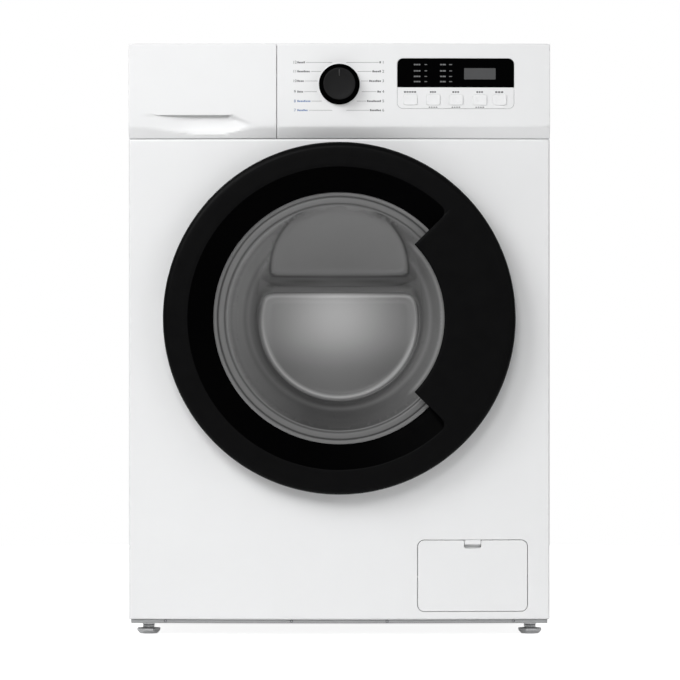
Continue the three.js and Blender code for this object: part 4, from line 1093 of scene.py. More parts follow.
def insert_print():
    """Small plain bars over and under the keys, where their functions would be named, and a thin grey
    line round the white half of the insert."""
    bars = []
    plate = insert_level(0.4)
    for (x, _, _, _, _), half in zip(key_positions(), (9.0, 4.6, 5.2, 5.0, 6.2)):
        pieces = 5 if half > 8 else 3
        step = 2 * half / pieces
        for k in range(pieces):
            bars.append((x - half + step * k, x - half + step * (k + 0.74), 772.9, 775.2, plate))
    for x in (133.5, 166, 200):
        for k in range(4):
            bars.append((x - 6.4 + 3.3 * k, x - 4.1 + 3.3 * k, 751.8, 753.1, plate))
    printed("key_marks", bars, "print_soft")
    edge = insert_outline(0.12)
    line = Builder()
    kept = [p for p in edge if p[1] < PLATE_HIGH[2] - 1]
    middle_x = 165.5
    kept.sort(key=lambda p: (math.atan2(p[1] - 781, p[0] - middle_x) + TAU * 0.75 + 0.3) % TAU)
    loops = []
    for x, z in kept:
        nx, nz = x - middle_x, (z - 775) * 4
        length = math.hypot(nx, nz)
        nx, nz = nx / length * 0.16, nz / length * 0.16
        y = bow(x) - BAND_PROUD
        corners = ((-1, -0.08), (1, -0.08), (1, 0.5), (-1, 0.5))
        loops.append([(x + side * nx, y + dy, z + side * nz) for side, dy in corners])
    line.loft(loops, caps=(True, True))
    line.piece("insert_edge_line", "print_soft", "cabinet")


# ---------------------------------------------------------------- program knob
def program_knob():
    """A turned knob: a dished face, a tapered skirt with fine grip flutes, and a marker groove."""
    base = KNOB_HIGH[1]
    front = KNOB_LOW[1]
    skirt = bow(0) - BAND_PROUD - 0.8
    face_r = 22.9
    b = Builder()
    face = [(0.0, 0.9), (8, 0.84), (15, 0.62), (19.6, 0.25), (21.6, 0), (22.6, 0.12), (23.3, 0.5)]
    profile = [(r, front + dy) for r, dy in face + [(23.7, 1.2), (24.6, 4)]]
    flare = [(26.2, 7), (27.8, 4), (28.7, 2.6), (29.0, 1.4), (28.8, 0.3), (28.2, 0), (3.2, 0)]
    profile += [(r, skirt - dy) for r, dy in flare] + [(3.0, base), (0.0, base)]
    segments = 216
    loops = []
    for k in range(segments):
        angle = TAU * k / segments
        flute = 0.16 * (0.5 - 0.5 * math.cos(angle * 72))
        loop = []
        for r, y in profile:
            fluted = flute if front + 1 < y < skirt - 3 and r > 20 else 0.0
            loop.append(((r - fluted) * math.cos(angle), y, KNOB_Z + (r - fluted) * math.sin(angle)))
        loops.append(loop)
    b.loft(loops, closed=False, wrap=True)
    b.piece(
        "knob_body", "knob_black", "knob", replaces=["program_knob"], crease=50,
        second="knob_skirt", where=lambda x, y, z: math.hypot(x, z - KNOB_Z * MM) > face_r * MM,
    )
    marker = Builder()
    marker.box(-0.6, 0.6, front - 0.02, front + 0.8, KNOB_Z + 11, KNOB_Z + 20.5, 0.25)
    marker.piece("knob_marker", "knob_mark", "knob")
    collar = Builder()
    section = [(24.5, 0.55), (30.0, 0.55), (30.6, 0.75), (30.6, 1.2), (24.5, 1.2)]
    collar.turn([(r, skirt + dy) for r, dy in section], 96, 0, KNOB_Z)
    collar.piece("knob_collar", "white_moulding", "cabinet")


# ---------------------------------------------------------------- door ring and handle plate
RIM_INNER_R = 215.7
GLASS_EDGE_R = 179.0
RECESS_BACK = -26.0
HANDLE_R = 149.0
HINGE_NOTCH = 30.0  # half the height of the gap in the skirt where the hinge passes
NOTCH_BACK = -37.4  # y where the skirt ends in that gap
HANDLE_HALF = math.radians(44.5)
HANDLE_THICK = 4.0
CORNER = 12.0  # the recess's outer corners beside the handle plate, in plan
HINGE_X, HINGE_Y = -236.0, -25.0
HOOK_X, HOOK_Y = 200.0, -2.0


def quarter(cx, cy, rx, ry, start, end, steps):
    """Points of an ellipse's arc from start to end, in degrees."""
    angles = [math.radians(start + (end - start) * k / steps) for k in range(steps + 1)]
    return [(cx + rx * math.cos(a), cy + ry * math.sin(a)) for a in angles]


def ring_profile(inner_r, plate, back=DOOR_BACK):
    """The ring's section as (radius, y). inner_r is where its front face ends and the recess starts.
    plate is None, or how far the handle plate's section is drawn in at its own rounded ends. back is
    where the skirt ends."""
    front = DOOR_FRONT
    points = [(DOOR_R - 3, back), (DOOR_R - 0.6, back), (DOOR_R, back - 0.6), (DOOR_R, min(-36, back - 0.8))]
    points += quarter(DOOR_R - 8.5, front + 8.5, 8.5, 8.5, 0, -90, 9)
    points.append((DOOR_R - 14, front))
    points.append((inner_r + 6, front))
    end = (inner_r, front)
    tip = HANDLE_R + (plate or 0)
    top, under = front + (plate or 0), front + HANDLE_THICK - (plate or 0)
    edge = [(inner_r + 1.5, front), (200, top), (180, top), (tip + 5, top), (tip + 1.5, top)]
    edge += quarter(tip + 1.5, (top + under) / 2, 1.5, (under - top) / 2, -90, -270, 6)[1:]
    edge += [(tip + 6, under), (180, under), (200, under), (RIM_INNER_R - 1, under)]
    if plate is None:
        edge = [end] * len(edge)
    points += edge
    start = inner_r if plate is None else RIM_INNER_R - 1
    start_y = front if plate is None else under
    for share in (0.0, 0.02, 0.06, 0.12, 0.5, 0.9, 0.97):
        r = start + (GLASS_EDGE_R - start) * share
        y = start_y + (RECESS_BACK - start_y) * share
        if 0 < share < 0.1 and plate is None:
            y -= 0.35 * (1 - share / 0.1)
        points.append((r, y))
    points += quarter(GLASS_EDGE_R + 1.0, RECESS_BACK + 1.0, 1.0, 1.0, -120, -180, 3)
    points += [(GLASS_EDGE_R, -22.3), (GLASS_EDGE_R + 5, -22.3), (GLASS_EDGE_R + 5, -24.6)]
    hollow_r = max(inner_r, RIM_INNER_R - CORNER) + 1.3
    points += [(hollow_r, -42.4 if plate is None else -39.0), (hollow_r + 4, -43), (DOOR_R - 9, -43)]
    points += [(DOOR_R - 4.5, -41), (DOOR_R - 3, min(-37.5, back - 0.6))]
    return points


def door_ring():
    """The black ring: a rounded rim, a conical recess round the glass, and the flush handle plate."""
    angles = []
    edge = HANDLE_HALF
    bevel = 1.0 / RIM_INNER_R
    steps = 200
    for k in range(steps):
        angle = edge + 0.002 + (TAU - 2 * edge - 0.004) * k / (steps - 1)
        angles.append((angle, None))
    shares = (0.04, 0.1, 0.18, 0.28, 0.4, 0.55, 0.72, 0.9, 1.0)
    fine = [edge + 0.002 + CORNER / RIM_INNER_R * share for share in shares]
    angles += [(a, None) for a in fine] + [(TAU - a, None) for a in fine]
    for share in range(61):
        angle = -edge + bevel + 2 * (edge - bevel) * share / 60
        angles.append((angle % TAU if angle < 0 else angle, 0.0))
    for a, drawn in ((edge, 0.9), (edge - 0.35 * bevel, 0.3), (edge - 0.65 * bevel, 0.08)):
        angles += [(a, drawn), (TAU - a, drawn)]
    for k in range(9):
        away = math.asin(HINGE_NOTCH / DOOR_R) - 0.004 + 0.001 * k
        angles += [(math.pi - away, None), (math.pi + away, None)]
    angles.sort(key=lambda pair: pair[0])
    loops = []
    for angle, plate in angles:
        away = min(abs(angle - edge), abs(TAU - angle - edge)) * RIM_INNER_R
        inner_r = RIM_INNER_R
        if plate is None and away < CORNER:
            inner_r -= CORNER - math.sqrt(CORNER ** 2 - (CORNER - away) ** 2)
        in_notch = 0
        if math.cos(angle) < 0:
            in_notch = ease(HINGE_NOTCH + 0.5 - DOOR_R * abs(math.sin(angle)))
        profile = ring_profile(inner_r, plate, DOOR_BACK + (NOTCH_BACK - DOOR_BACK) * in_notch)
        loops.append([(r * math.cos(angle), y, DOOR_Z + r * math.sin(angle)) for r, y in profile])
    b = Builder()
    b.loft(loops, wrap=True)
    inner = (RIM_INNER_R - 0.8) * MM
    tip = (DOOR_FRONT + 0.4) * MM + Y_EDGE

    def in_recess(x, y, z):
        return y > tip and math.hypot(x, z - DOOR_Z * MM) < inner

    b.piece(
        "door_outer_ring", "ring_black", "door", replaces=["door_ring"], crease=38,
        second="cone_black", where=in_recess,
    )


# ---------------------------------------------------------------- door glass
ROOT_R = 159.2  # where the tapered wall leaves the flat edge
ROOT_Y = -20.0
NOSE_R = 116.0
NOSE_Y = 103.0
NOSE_DROP = -4.5  # the nose's middle lies this far below the door's
NOSE_CHORD = 35.5  # its flat top edge
WALL_STEEP = (NOSE_Y - ROOT_Y) / (ROOT_R - NOSE_R)
FACE_TOP = 161.5  # the slanting face above the nose: its top, its sides and its flat foot
FACE_MIDDLE = 68.0
FACE_R = 98.5
FACE_FOOT = 60.0
FACE_SLOPE = 0.86
GLASS_WALL = 5.0
BACK_SMOOTHING = 10
NET = 5.5


def smooth_max(values, width):
    """The largest of the values, with the creases between them rounded over about `width`."""
    high = max(values)
    return high + width * math.log(sum(math.exp((v - high) / width) for v in values))


def nose_edge(x, z):
    """Distance outside the nose's outline: a circle whose top is cut flat, with round corners."""
    return smooth_max((math.hypot(x, z - NOSE_DROP) - NOSE_R, z - NOSE_CHORD - 0.9 * (x / NOSE_R) ** 2), 4.0)


def face_edge(x, z):
    """Distance outside the slanting face's outline, which is shaped like a D lying on its side."""
    foot = FACE_FOOT + 1.5 * (x / FACE_R) ** 2
    return smooth_max((math.hypot(x, z - FACE_MIDDLE) - FACE_R, math.hypot(x, z) - FACE_TOP, foot - z), 2.0)


def bead(distance, width):
    """A smooth ridge, 1 high in its middle."""
    return math.exp(-(distance / width) ** 2)


def bowl_depth(x, z):
    """y of the bowl's front face at (x, z) from the door's middle."""
    r = math.hypot(x, z)
    wall = ROOT_Y + (ROOT_R - r) * WALL_STEEP
    wall += 1.6 * bead(r - 131, 2.2) - 1.2 * bead(r - 140, 1.6) - 1.2 * bead(r - 147, 1.6)
    nose_out = nose_edge(x, z)
    crown = NOSE_Y - 7.0 * (x * x + (z - 5) ** 2) / NOSE_R ** 2
    nose = crown - 2.4 * bead(nose_out + 5.5, 3.0)
    past_nose = ease(nose_out / 5.0 + 0.3)
    face = ROOT_Y + (FACE_TOP - z) * FACE_SLOPE
    over_nose = min(wall, face + max(0.0, FACE_FOOT - z) * 1.3)
    y = nose + (min(over_nose, NOSE_Y + 3) - nose) * past_nose
    face_in = ease(0.5 - face_edge(x, z) / 4.0)
    y += (face - 1.0 * bead(face_edge(x, z) + 4, 2.0) - y) * face_in
    return max(y, ROOT_Y)


def bowl_back(front, faces, ends):
    """The bowl's back face: its front moved one wall back along its normals, then smoothed. ends gives,
    for each (x, z) on the front's rim, the point of the flange's back that it becomes."""
    points = np.array(front)
    corners = np.array(faces)
    first, second, third = (points[corners[:, k]] for k in range(3))
    across = np.cross(second - first, third - first)
    across *= np.where(across[:, 1:2] < 0, -1, 1)
    normals = np.zeros_like(points)
    for k in range(3):
        np.add.at(normals, corners[:, k], across)
    normals /= np.linalg.norm(normals, axis=1, keepdims=True)
    back = points + GLASS_WALL * normals
    keys = [(round(x, 3), round(z, 3)) for x, _, z in front]
    fixed = {i: ends[key] for i, key in enumerate(keys) if key in ends}
    rim = list(fixed)
    rim_points = np.array([fixed[i] for i in rim])
    sides = np.concatenate([corners[:, (0, 1)], corners[:, (1, 2)], corners[:, (2, 0)]])
    sides = np.concatenate([sides, sides[:, ::-1]])
    count = np.zeros(len(points))
    np.add.at(count, sides[:, 0], 1)
    for _ in range(BACK_SMOOTHING):
        back[rim] = rim_points
        total = np.zeros_like(points)
        np.add.at(total, sides[:, 0], back[sides[:, 1]])
        back = total / count[:, None]
    back[rim] = rim_points
    return [tuple(p) for p in back]


def bowl_smoke_and_painted_light(x, z):
    """How light the smoked glass looks at (x, z). Part of it follows how much glass lies edge-on there; the
    rest is painted light and shade: a painted glow in the nose, lighter sides, painted dark rings, painted
    bright beads and painted shade in the creases.
    """
    r = math.hypot(x, z)
    side = math.atan2(z, x)
    # the left, right and top of the wall are lighter: painted light from the lamps' side
    left = max(0.0, math.cos(side - math.radians(165))) ** 1.3
    right = max(0.0, math.cos(side)) ** 1.5
    top = max(0.0, math.sin(side)) ** 2
    wall = 0.068 + 0.17 * left + 0.10 * right + 0.12 * top
    # painted highlights on the bead at r 131 and on the left wall
    wall += 0.075 * bead(r - 131, 2.5) + 0.08 * left * ease((r - 134) / 20)
    wall += 0.085 * left * bead(r - 141, 7)
    # painted dark rings on the wall: painted shade
    for painted_dark_ring, depth in ((154.5, 0.30), (148.2, 0.20), (142.4, 0.16), (136.0, 0.16), (123.0, 0.12)):
        wall *= 1 - depth * (0.25 + left) * bead(r - painted_dark_ring, 1.2)
    # a painted bright line on the right wall
    wall += 0.19 * bead(r - 146.4, 1.8) * ease(math.cos(side) * 8 - 5.1)
    nose_out = nose_edge(x, z)
    # glow is a painted highlight in the middle of the nose, lighter towards the left
    glow = math.exp(-((x / 75) ** 2 + ((z - 12) / 68) ** 2))
    nose = (0.235 - 0.085 * ease((-20 - z) / 60) + 0.37 * glow) * (1 - 0.19 * x / 80)
    # a painted bright bead along the nose's lower arc and a fainter one along its top
    arc = 0.35 + 0.65 * ease((-z + 10) / 70)
    nose += 0.37 * arc * bead(nose_out + 5.0, 2.6) + 0.10 * (1 - arc) * bead(nose_out + 11.5, 2.0)
    # painted shade just outside the nose's edge
    shade_nose = 1 - 0.42 * bead(nose_out - 2.5, 3.0) - 0.05 * bead(nose_out - 8, 6)
    smoke_and_painted_light = (nose + (wall - nose) * ease(nose_out / 2.4 + 0.4)) * shade_nose
    if z > 20 and abs(x) < 112:
        band = ease((nose_out + 1) / 2.5) * ease((FACE_FOOT + 2 - z) / 3) * ease((111 - abs(x)) / 12)
        smoke_and_painted_light += (0.24 - smoke_and_painted_light) * band
    out = face_edge(x, z)
    face = 0.245 + 0.06 * (x / 90) ** 2
    smoke_and_painted_light += (face - smoke_and_painted_light) * ease(0.5 - out / 3)
    # painted shade along the slanting face's edge and in the crease under its foot
    smoke_and_painted_light *= 1 - 0.55 * bead(out - 1.2, 2.2)
    smoke_and_painted_light *= 1 - 0.45 * bead(z - (FACE_FOOT - 6 - 6 * (x / 97) ** 2), 2.6) * ease((112 - abs(x)) / 14)
    return smoke_and_painted_light


def flange_smoke_and_painted_light(r):
    """The flat edge's smoke grey with painted light and shade: a painted highlight along the bright outer
    line, painted shade in the first groove, the grey flat, and painted shade in the second groove.
    """
    smoke_and_painted_light = 0.17 + 0.16 * ease((r - 174.5) / 1.5)
    return smoke_and_painted_light * (1 - 0.75 * bead(r - 172.6, 1.3)) * (1 - 0.6 * bead(r - 162.5, 1.3))


def glass_flange():
    """(radius, y) of the glass's flat edge, from its back rim over two grooves to the bowl's root."""
    return [
        (160.4, -17.0), (172.0, -17.0), (180.2, -17.0), (181.0, -17.8), (181.0, -21.2), (180.2, -22.0),
        (174.4, -22.0), (173.6, -21.6), (173.1, -20.7), (172.2, -20.7), (171.6, -21.2), (170.4, -21.5),
        (167.0, -21.5), (164.8, -21.5), (163.7, -21.2), (163.1, -20.4), (162.2, -20.4), (161.4, -20.6),
        (160.4, -20.4), (ROOT_R, ROOT_Y),
    ]


def contour(distance, middle, level, count):
    """The closed line on which `distance` has the value level, found along rays from the middle."""
    points = []
    for k in range(count):
        dx, dz = math.cos(TAU * k / count), math.sin(TAU * k / count)
        near, far = 0.0, 260.0
        for _ in range(24):
            half = (near + far) / 2
            if distance(middle[0] + half * dx, middle[1] + half * dz) > level:
                far = half
            else:
                near = half
        points.append((middle[0] + near * dx, middle[1] + near * dz))
    return points


def kept_runs(points, keep):
    """The closed line's stretches whose points pass keep, as open lines."""
    if all(keep(*p) for p in points):
        return [points + points[:1]]
    start = next(i for i, p in enumerate(points) if not keep(*p))
    runs, run = [], []
    for p in points[start:] + points[:start]:
        if keep(*p):
            run.append(p)
        elif run:
            runs.append(run)
            run = []
    if run:
        runs.append(run)
    return [r for r in runs if len(r) > 1]


def bowl_lines():
    """Lines of the net that follow the bowl's creases, so that they come out crisp."""
    def below_root(x, z):
        return math.hypot(x, z) < 153

    def on_face(x, z):
        return below_root(x, z) and nose_edge(x, z) > 8

    def on_wall(x, z):
        return face_edge(x, z) > 5 and nose_edge(x, z) > 8

    lines = []
    for distance in (-13, -10, -7.5, -5, -2.5, -0.8, 0.8, 2.5, 4.5, 6.5):
        lines += kept_runs(contour(nose_edge, (0, -20), distance, 120), below_root)
    for distance in (-7, -4, -2, -0.7, 0.7, 2.0, 3.6):
        lines += kept_runs(contour(face_edge, (0, 100), distance, 110), on_face)
    for r in (153.6, 150, 147, 143.5, 140, 135.5, 131, 127):
        lines += kept_runs(circle_loop(0, 0, r, 168), on_wall)
    return [[(x, z + DOOR_Z) for x, z in line] for line in lines]


def door_glass():
    """The pressed glass: a turned flat edge, and in it the bowl with its nose and slanting face."""
    b = Builder()
    rings = ring_rows(glass_flange())
    b.loft(rings)
    front = Builder()
    skin(front, [rings[-1]], lambda x, z: bowl_depth(x, z - DOOR_Z), NET, bowl_lines())
    b.add(front.vertices, front.faces)
    ends = {(round(x, 3), round(z, 3)): end for (x, _, z), end in zip(rings[-1], rings[0])}
    b.add(bowl_back(front.vertices, front.faces, ends), front.faces)
    piece = b.piece("door_bowl", "bowl_glass", "door", replaces=["door_glass"], crease=60)
    # the glass's smoke grey with painted light and shade, kept per point for its material
    smoke_and_painted_light = piece.data.attributes.new("smoke_and_painted_light", "FLOAT", "POINT")
    for vertex in piece.data.vertices:
        x, z = vertex.co.x / MM, vertex.co.z / MM - DOOR_Z
        r = math.hypot(x, z)
        smoke_and_painted_light.data[vertex.index].value = flange_smoke_and_painted_light(r) if r > ROOT_R + 0.5 else bowl_smoke_and_painted_light(x, z)
    return piece


# ---------------------------------------------------------------- shared shapes
def upright(builder, profile, segments, cx, cy, closed_ends=True):
    """A profile of (radius, z) turned about a vertical line. It closes on itself, or ends in two caps."""
    loops = [[(x, y, z) for x, y in circle_loop(cx, cy, r, segments)] for r, z in profile]
    return builder.loft(loops, caps=(closed_ends, closed_ends), wrap=not closed_ends)


def stacked(outline, table):
    """Rows of an (x, y) outline: for each (distance, z), moved inwards by distance and laid at z."""
    return [[(x, y, z) for x, y in inset(outline, d)] for d, z in table]


def floor_fill(builder, outer, holes, z, spacing):
    """A flat face at z over the outer row less the rows of its holes."""
    flat = [[(x, y) for x, y, _ in loop] for loop in (outer, *holes)]
    vertices, faces = fill(flat[0], flat[1:], spacing)
    builder.add([(x, y, z) for x, y in vertices], faces)


def prism(builder, outline, z0, z1, bevel=0.8):
    """An (x, y) outline, anticlockwise, raised from z0 to z1 with bevelled ends."""
    near = 0.3 * bevel
    rows = [(bevel, z0), (near, z0 + near), (0.0, z0 + bevel)]
    rows += [(0.0, z1 - bevel), (near, z1 - near), (bevel, z1)]
    return builder.loft(stacked(outline, rows), caps=(True, True))


def screw_head(builder, x, y, z, r, out=-1):
    """A cross-recessed pan head at (x, y, z). out is the side of y that it faces."""
    count = 32
    loops = []
    for share, height in ((1.0, 0.0), (1.0, 0.5), (0.86, 0.85), (0.62, 1.0)):
        head_y = y + out * height * r * 0.55
        loops.append([(px, head_y, pz) for px, pz in circle_loop(x, z, r * share, count)])
    cross = []
    for k in range(count):
        angle = TAU * k / count
        arm = 0.5 + 0.5 * math.cos(4 * angle)
        reach = r * (0.16 + 0.34 * arm ** 3)
        cross.append((x + reach * math.cos(angle), y + out * r * 0.53, z + reach * math.sin(angle)))
    loops.append(cross)
    loops.append([(x + (px - x) * 0.7, y + out * r * 0.2, z + (pz - z) * 0.7) for px, _, pz in cross])
    return builder.loft(loops, caps=(True, True))


def swept(builder, path, section, up=(0, 0, 1)):
    """Loops of a closed section, (side, up) pairs per path point, carried along the path."""
    loops = []
    for i, point in enumerate(path):
        ahead = Vector(path[min(i + 1, len(path) - 1)]) - Vector(path[max(i - 1, 0)])
        ahead.normalize()
        side = ahead.cross(Vector(up))
        if side.length < 1e-3:
            side = Vector((1, 0, 0))
        side.normalize()
        top = side.cross(ahead)
        loops.append([tuple(Vector(point) + side * a + top * b) for a, b in section(i)])
    return builder.loft(loops, caps=(True, True))


def round_section(r, count=12):
    """A circle as (side, up) pairs, for swept()."""
    return [(r * math.cos(TAU * k / count), r * math.sin(TAU * k / count)) for k in range(count)]


# ---------------------------------------------------------------- door: inner frame, hinge, hook, lock
FRAME_HOLE_R, FRAME_OUTER_R = 163.5, 214.0
FRAME_FACE = 8.0
LINER_SCREW_R = 195.0


def door_inner_frame():
    """The frame behind the glass: rounded edges, two rings pressed into its face, a hook slot and screws."""
    b = Builder()
    rim = [(8.5, FRAME_FACE), (7, FRAME_FACE - 0.4), (5.6, FRAME_FACE - 1.6), (0.8, 2.2), (0, 0.6)]
    outside = [(FRAME_OUTER_R - d, y) for d, y in rim + [(0, -12.6), (1, -13.6)]]
    outside += [(183, -16.6), (165, -16.6), (FRAME_HOLE_R, -15.4), (FRAME_HOLE_R, -1.0), (164.2, 0.6)]
    outside += [(170, 6.6), (171.4, 7.7), (173, FRAME_FACE)]
    rows = ring_rows(outside)
    slot = rounded_loop(HOOK_X - 8, HOOK_X + 5, DOOR_Z - 10, DOOR_Z + 10, 1.6, 4, 4)
    slot_rows = [row(slot, level(0), -0.7, FRAME_FACE), row(slot, level(0), 0.0, FRAME_FACE - 0.7)]
    slot_rows.append(row(slot, level(0), 0.3, -14.0))
    groove_rows = []
    for r in (178.6, 186.6):
        groove = ((0, 0), (0.4, 1.0), (1.8, 1.0), (2.2, 0))
        groove_rows.append(ring_rows([(r + across, FRAME_FACE - depth) for across, depth in groove]))
    b.loft(rows)
    inner_groove, outer_groove = groove_rows
    outer_face = [rows[0], outer_groove[-1], slot_rows[0]]
    middle_face = [outer_groove[0], inner_groove[-1]]
    inner_face = [inner_groove[0], rows[-1]]
    for loops in (outer_face, middle_face, inner_face):
        skin(b, loops, level(FRAME_FACE), 9)
    for chain in (slot_rows, *groove_rows):
        b.loft(chain)
    skin(b, [slot_rows[-1]], level(-14.0), 0)
    b.piece("door_liner", "frame_grey", "door", replaces=["door_inner_frame"], crease=40)
    screws = Builder()
    for k in range(8):
        angle = TAU * (k + 0.5) / 8
        x, z = LINER_SCREW_R * math.cos(angle), DOOR_Z + LINER_SCREW_R * math.sin(angle)
        screw_head(screws, x, FRAME_FACE - 0.3, z, 3.4, out=1)
    screws.piece("door_liner_screws", "screw_steel", "door", crease=30)


def hinge():
    """On the door a knuckle and a leaf. On the cabinet a plate with screws, two ears and the pin."""
    arm = Builder()
    knuckle = [(3.3, -13), (5.9, -13), (6.5, -12.4), (6.5, 12.4), (5.9, 13), (3.3, 13)]
    upright(arm, [(r, DOOR_Z + z) for r, z in knuckle], 40, HINGE_X, HINGE_Y, closed_ends=False)
    neck = [(HINGE_X + 4.6, -28), (HINGE_X + 14.5, -28), (HINGE_X + 14.5, -20), (HINGE_X + 4.6, -21)]
    prism(arm, neck, DOOR_Z - 12, DOOR_Z + 12, 0.7)
    leaf = [(HINGE_X + 12, -27), (-200, -27), (-200, -19), (HINGE_X + 12, -19)]
    prism(arm, leaf, DOOR_Z - 20, DOOR_Z + 20, 1.0)
    arm.piece("hinge_leaf", "zinc", "door", replaces=["hinge_arm"], crease=30)
    base = Builder()
    plate = [(HINGE_X - 7, -7), (HINGE_X + 11, -7), (HINGE_X + 11, -4.6), (HINGE_X - 7, -4.6)]
    prism(base, plate, DOOR_Z - 27, DOOR_Z + 27, 0.6)
    for low in (-22, 14):
        ear = [(HINGE_X - 6, -6.2), (HINGE_X - 6.4, HINGE_Y + 1)]
        turns = (2.6, 2.1, 1.57, 1.04, 0.5)
        ear += [(HINGE_X + 6.4 * math.cos(a), HINGE_Y - 6.4 * math.sin(a)) for a in turns]
        ear += [(HINGE_X + 6.4, HINGE_Y + 1), (HINGE_X + 6, -6.2)]
        prism(base, ear, DOOR_Z + low, DOOR_Z + low + 8, 0.7)
    pin = [(2.4, -24.6), (3.0, -24), (3.0, 24), (2.4, 24.6)]
    upright(base, [(r, DOOR_Z + z) for r, z in pin], 24, HINGE_X, HINGE_Y)
    for z in (-24.2, 24.2):
        screw_head(base, HINGE_X + 2, -6.9, DOOR_Z + z * 0.98, 2.2)
    base.piece("hinge_mount", "zinc", "cabinet", replaces=["hinge_bracket"], crease=30)


def door_hook():
    """The sprung latch hook: a tapered stem on a pivot boss, with a nose that catches in the lock."""
    x, y = HOOK_X, HOOK_Y
    b = Builder()
    shape = [(-3.4, y - 3.6), (3.4, y - 3.6), (3.8, y + 2), (3.2, 26.6), (8.2, 27.4), (8.9, 28.6), (8.4, 30)]
    shape += [(4, 33.6), (0.6, 34), (-2.4, 33.4), (-3.6, 30), (-4, y + 2)]
    shape = [(x + dx, py) for dx, py in shape]
    prism(b, shape, DOOR_Z - 8, DOOR_Z + 8, 0.8)
    b.piece("hook_blade", "zinc", "hook", replaces=["door_hook"], crease=35)


def door_lock():
    """The lock behind the slot: a moulded case with ribs and a lid line."""
    low, high = node_box("door_lock")
    b = Builder()
    b.box(low[0], HOOK_SLOT[0] - 2.5, low[1], high[1] - 9, low[2], high[2], 1.2)
    b.box(HOOK_SLOT[1] + 3.5, high[0], low[1], high[1] - 9, low[2], high[2], 1.2)
    b.box(low[0] + 0.4, high[0] - 0.4, high[1] - 9.2, high[1], low[2] + 0.4, high[2] - 0.4, 1.6)
    for z0, z1 in ((low[2] + 0.6, DOOR_Z - 14.4), (DOOR_Z + 14.4, high[2] - 0.6)):
        b.box(HOOK_SLOT[0] - 3, HOOK_SLOT[1] + 4, low[1] + 0.4, high[1] - 9, z0, z1, 0.8)
    for k in range(5):
        z = low[2] + 12 + 16.5 * k
        b.box(low[0] - 0.9, low[0] + 0.6, low[1] + 6, high[1] - 12, z - 1, z + 1, 0.4)
    b.piece("lock_case", "dark_moulding", "cabinet", replaces=["door_lock"], crease=35)


# ---------------------------------------------------------------- door seal
def door_gasket():
    """The seal: a lip round the porthole, a sealing edge towards the glass, and two folds to the tub."""
    profile = [
        (172.6, 26.8), (173.4, 25.4), (173.2, 20.4), (172.0, 17.6), (170.4, 16.4), (168.6, 16.6),
        (166.6, 18.4), (160.2, 19.2), (155.6, 19.0), (153.0, 19.6), (152.0, 21.0), (152.6, 22.8),
        (155.4, 24.2), (159.6, 26.4), (161.2, 29.6), (160.4, 33.4), (157.4, 36.6), (156.6, 39.6),
        (158.6, 42.0), (163.6, 43.4), (165.2, 45.4), (163.8, 48.0), (160.8, 50.0), (160.6, 52.6),
        (163.4, 54.2), (166.8, 54.6), (167.4, 56.4), (167.4, 64.0), (165.6, 64.0), (165.4, 57.4),
        (161.0, 56.6), (158.4, 54.2), (158.4, 49.4), (161.0, 46.8), (162.2, 45.4), (156.8, 43.6),
        (154.2, 40.6), (154.4, 36.8), (157.6, 32.8), (158.4, 29.6), (156.6, 27.6), (152.6, 25.4),
        (150.4, 22.8), (150.0, 19.8), (151.6, 17.4), (155.2, 16.4), (164.8, 16.2), (167.4, 14.8),
        (170.6, 14.3), (173.8, 15.6), (175.4, 19.4), (175.6, 25.6), (174.4, 27.6),
    ]
    b = Builder()
    b.turn(profile, 144, 0, DOOR_Z)
    piece = b.piece("gasket_folds", "gasket_rubber", None, replaces=["door_gasket"], crease=70)
    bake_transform(piece)


def gasket_clamp():
    """The wire ring that holds the seal, closed at the bottom by a small tension spring."""
    b = Builder()
    loops = []
    count = 360
    ring_r, ring_y = 162.0, 14.8
    for k in range(count):
        angle = TAU * k / count
        from_bottom = abs(((angle + math.pi / 2 + math.pi) % TAU) - math.pi)
        wire = 1.5 + 0.45 * math.cos(k * math.pi) if from_bottom < 0.10 else 1.1
        loop = []
        for across, along in round_section(wire, 10):
            r = ring_r + across
            loop.append((r * math.cos(angle), ring_y + along, DOOR_Z + r * math.sin(angle)))
        loops.append(loop)
    b.loft(loops, wrap=True)
    b.piece("clamp_wire", "zinc", "cabinet", replaces=["gasket_clamp"], crease=50)


# ---------------------------------------------------------------- drum
DRUM_LOW, DRUM_HIGH = node_box("drum_shell")
DRUM_R = DRUM_HIGH[0]
DRUM_FRONT, DRUM_BACK = DRUM_LOW[1], DRUM_HIGH[1]
DRUM_MOUTH_R = 163.0
DRUM_BEADS = (130, 238, 346)  # y of the middles of the beads round its wall
LIFTER_FOOT = 233.8
LIFTER_HEIGHT = 44
LIFTER_ANGLES = [math.pi / 2 + math.pi + TAU * k / 3 for k in range(3)]


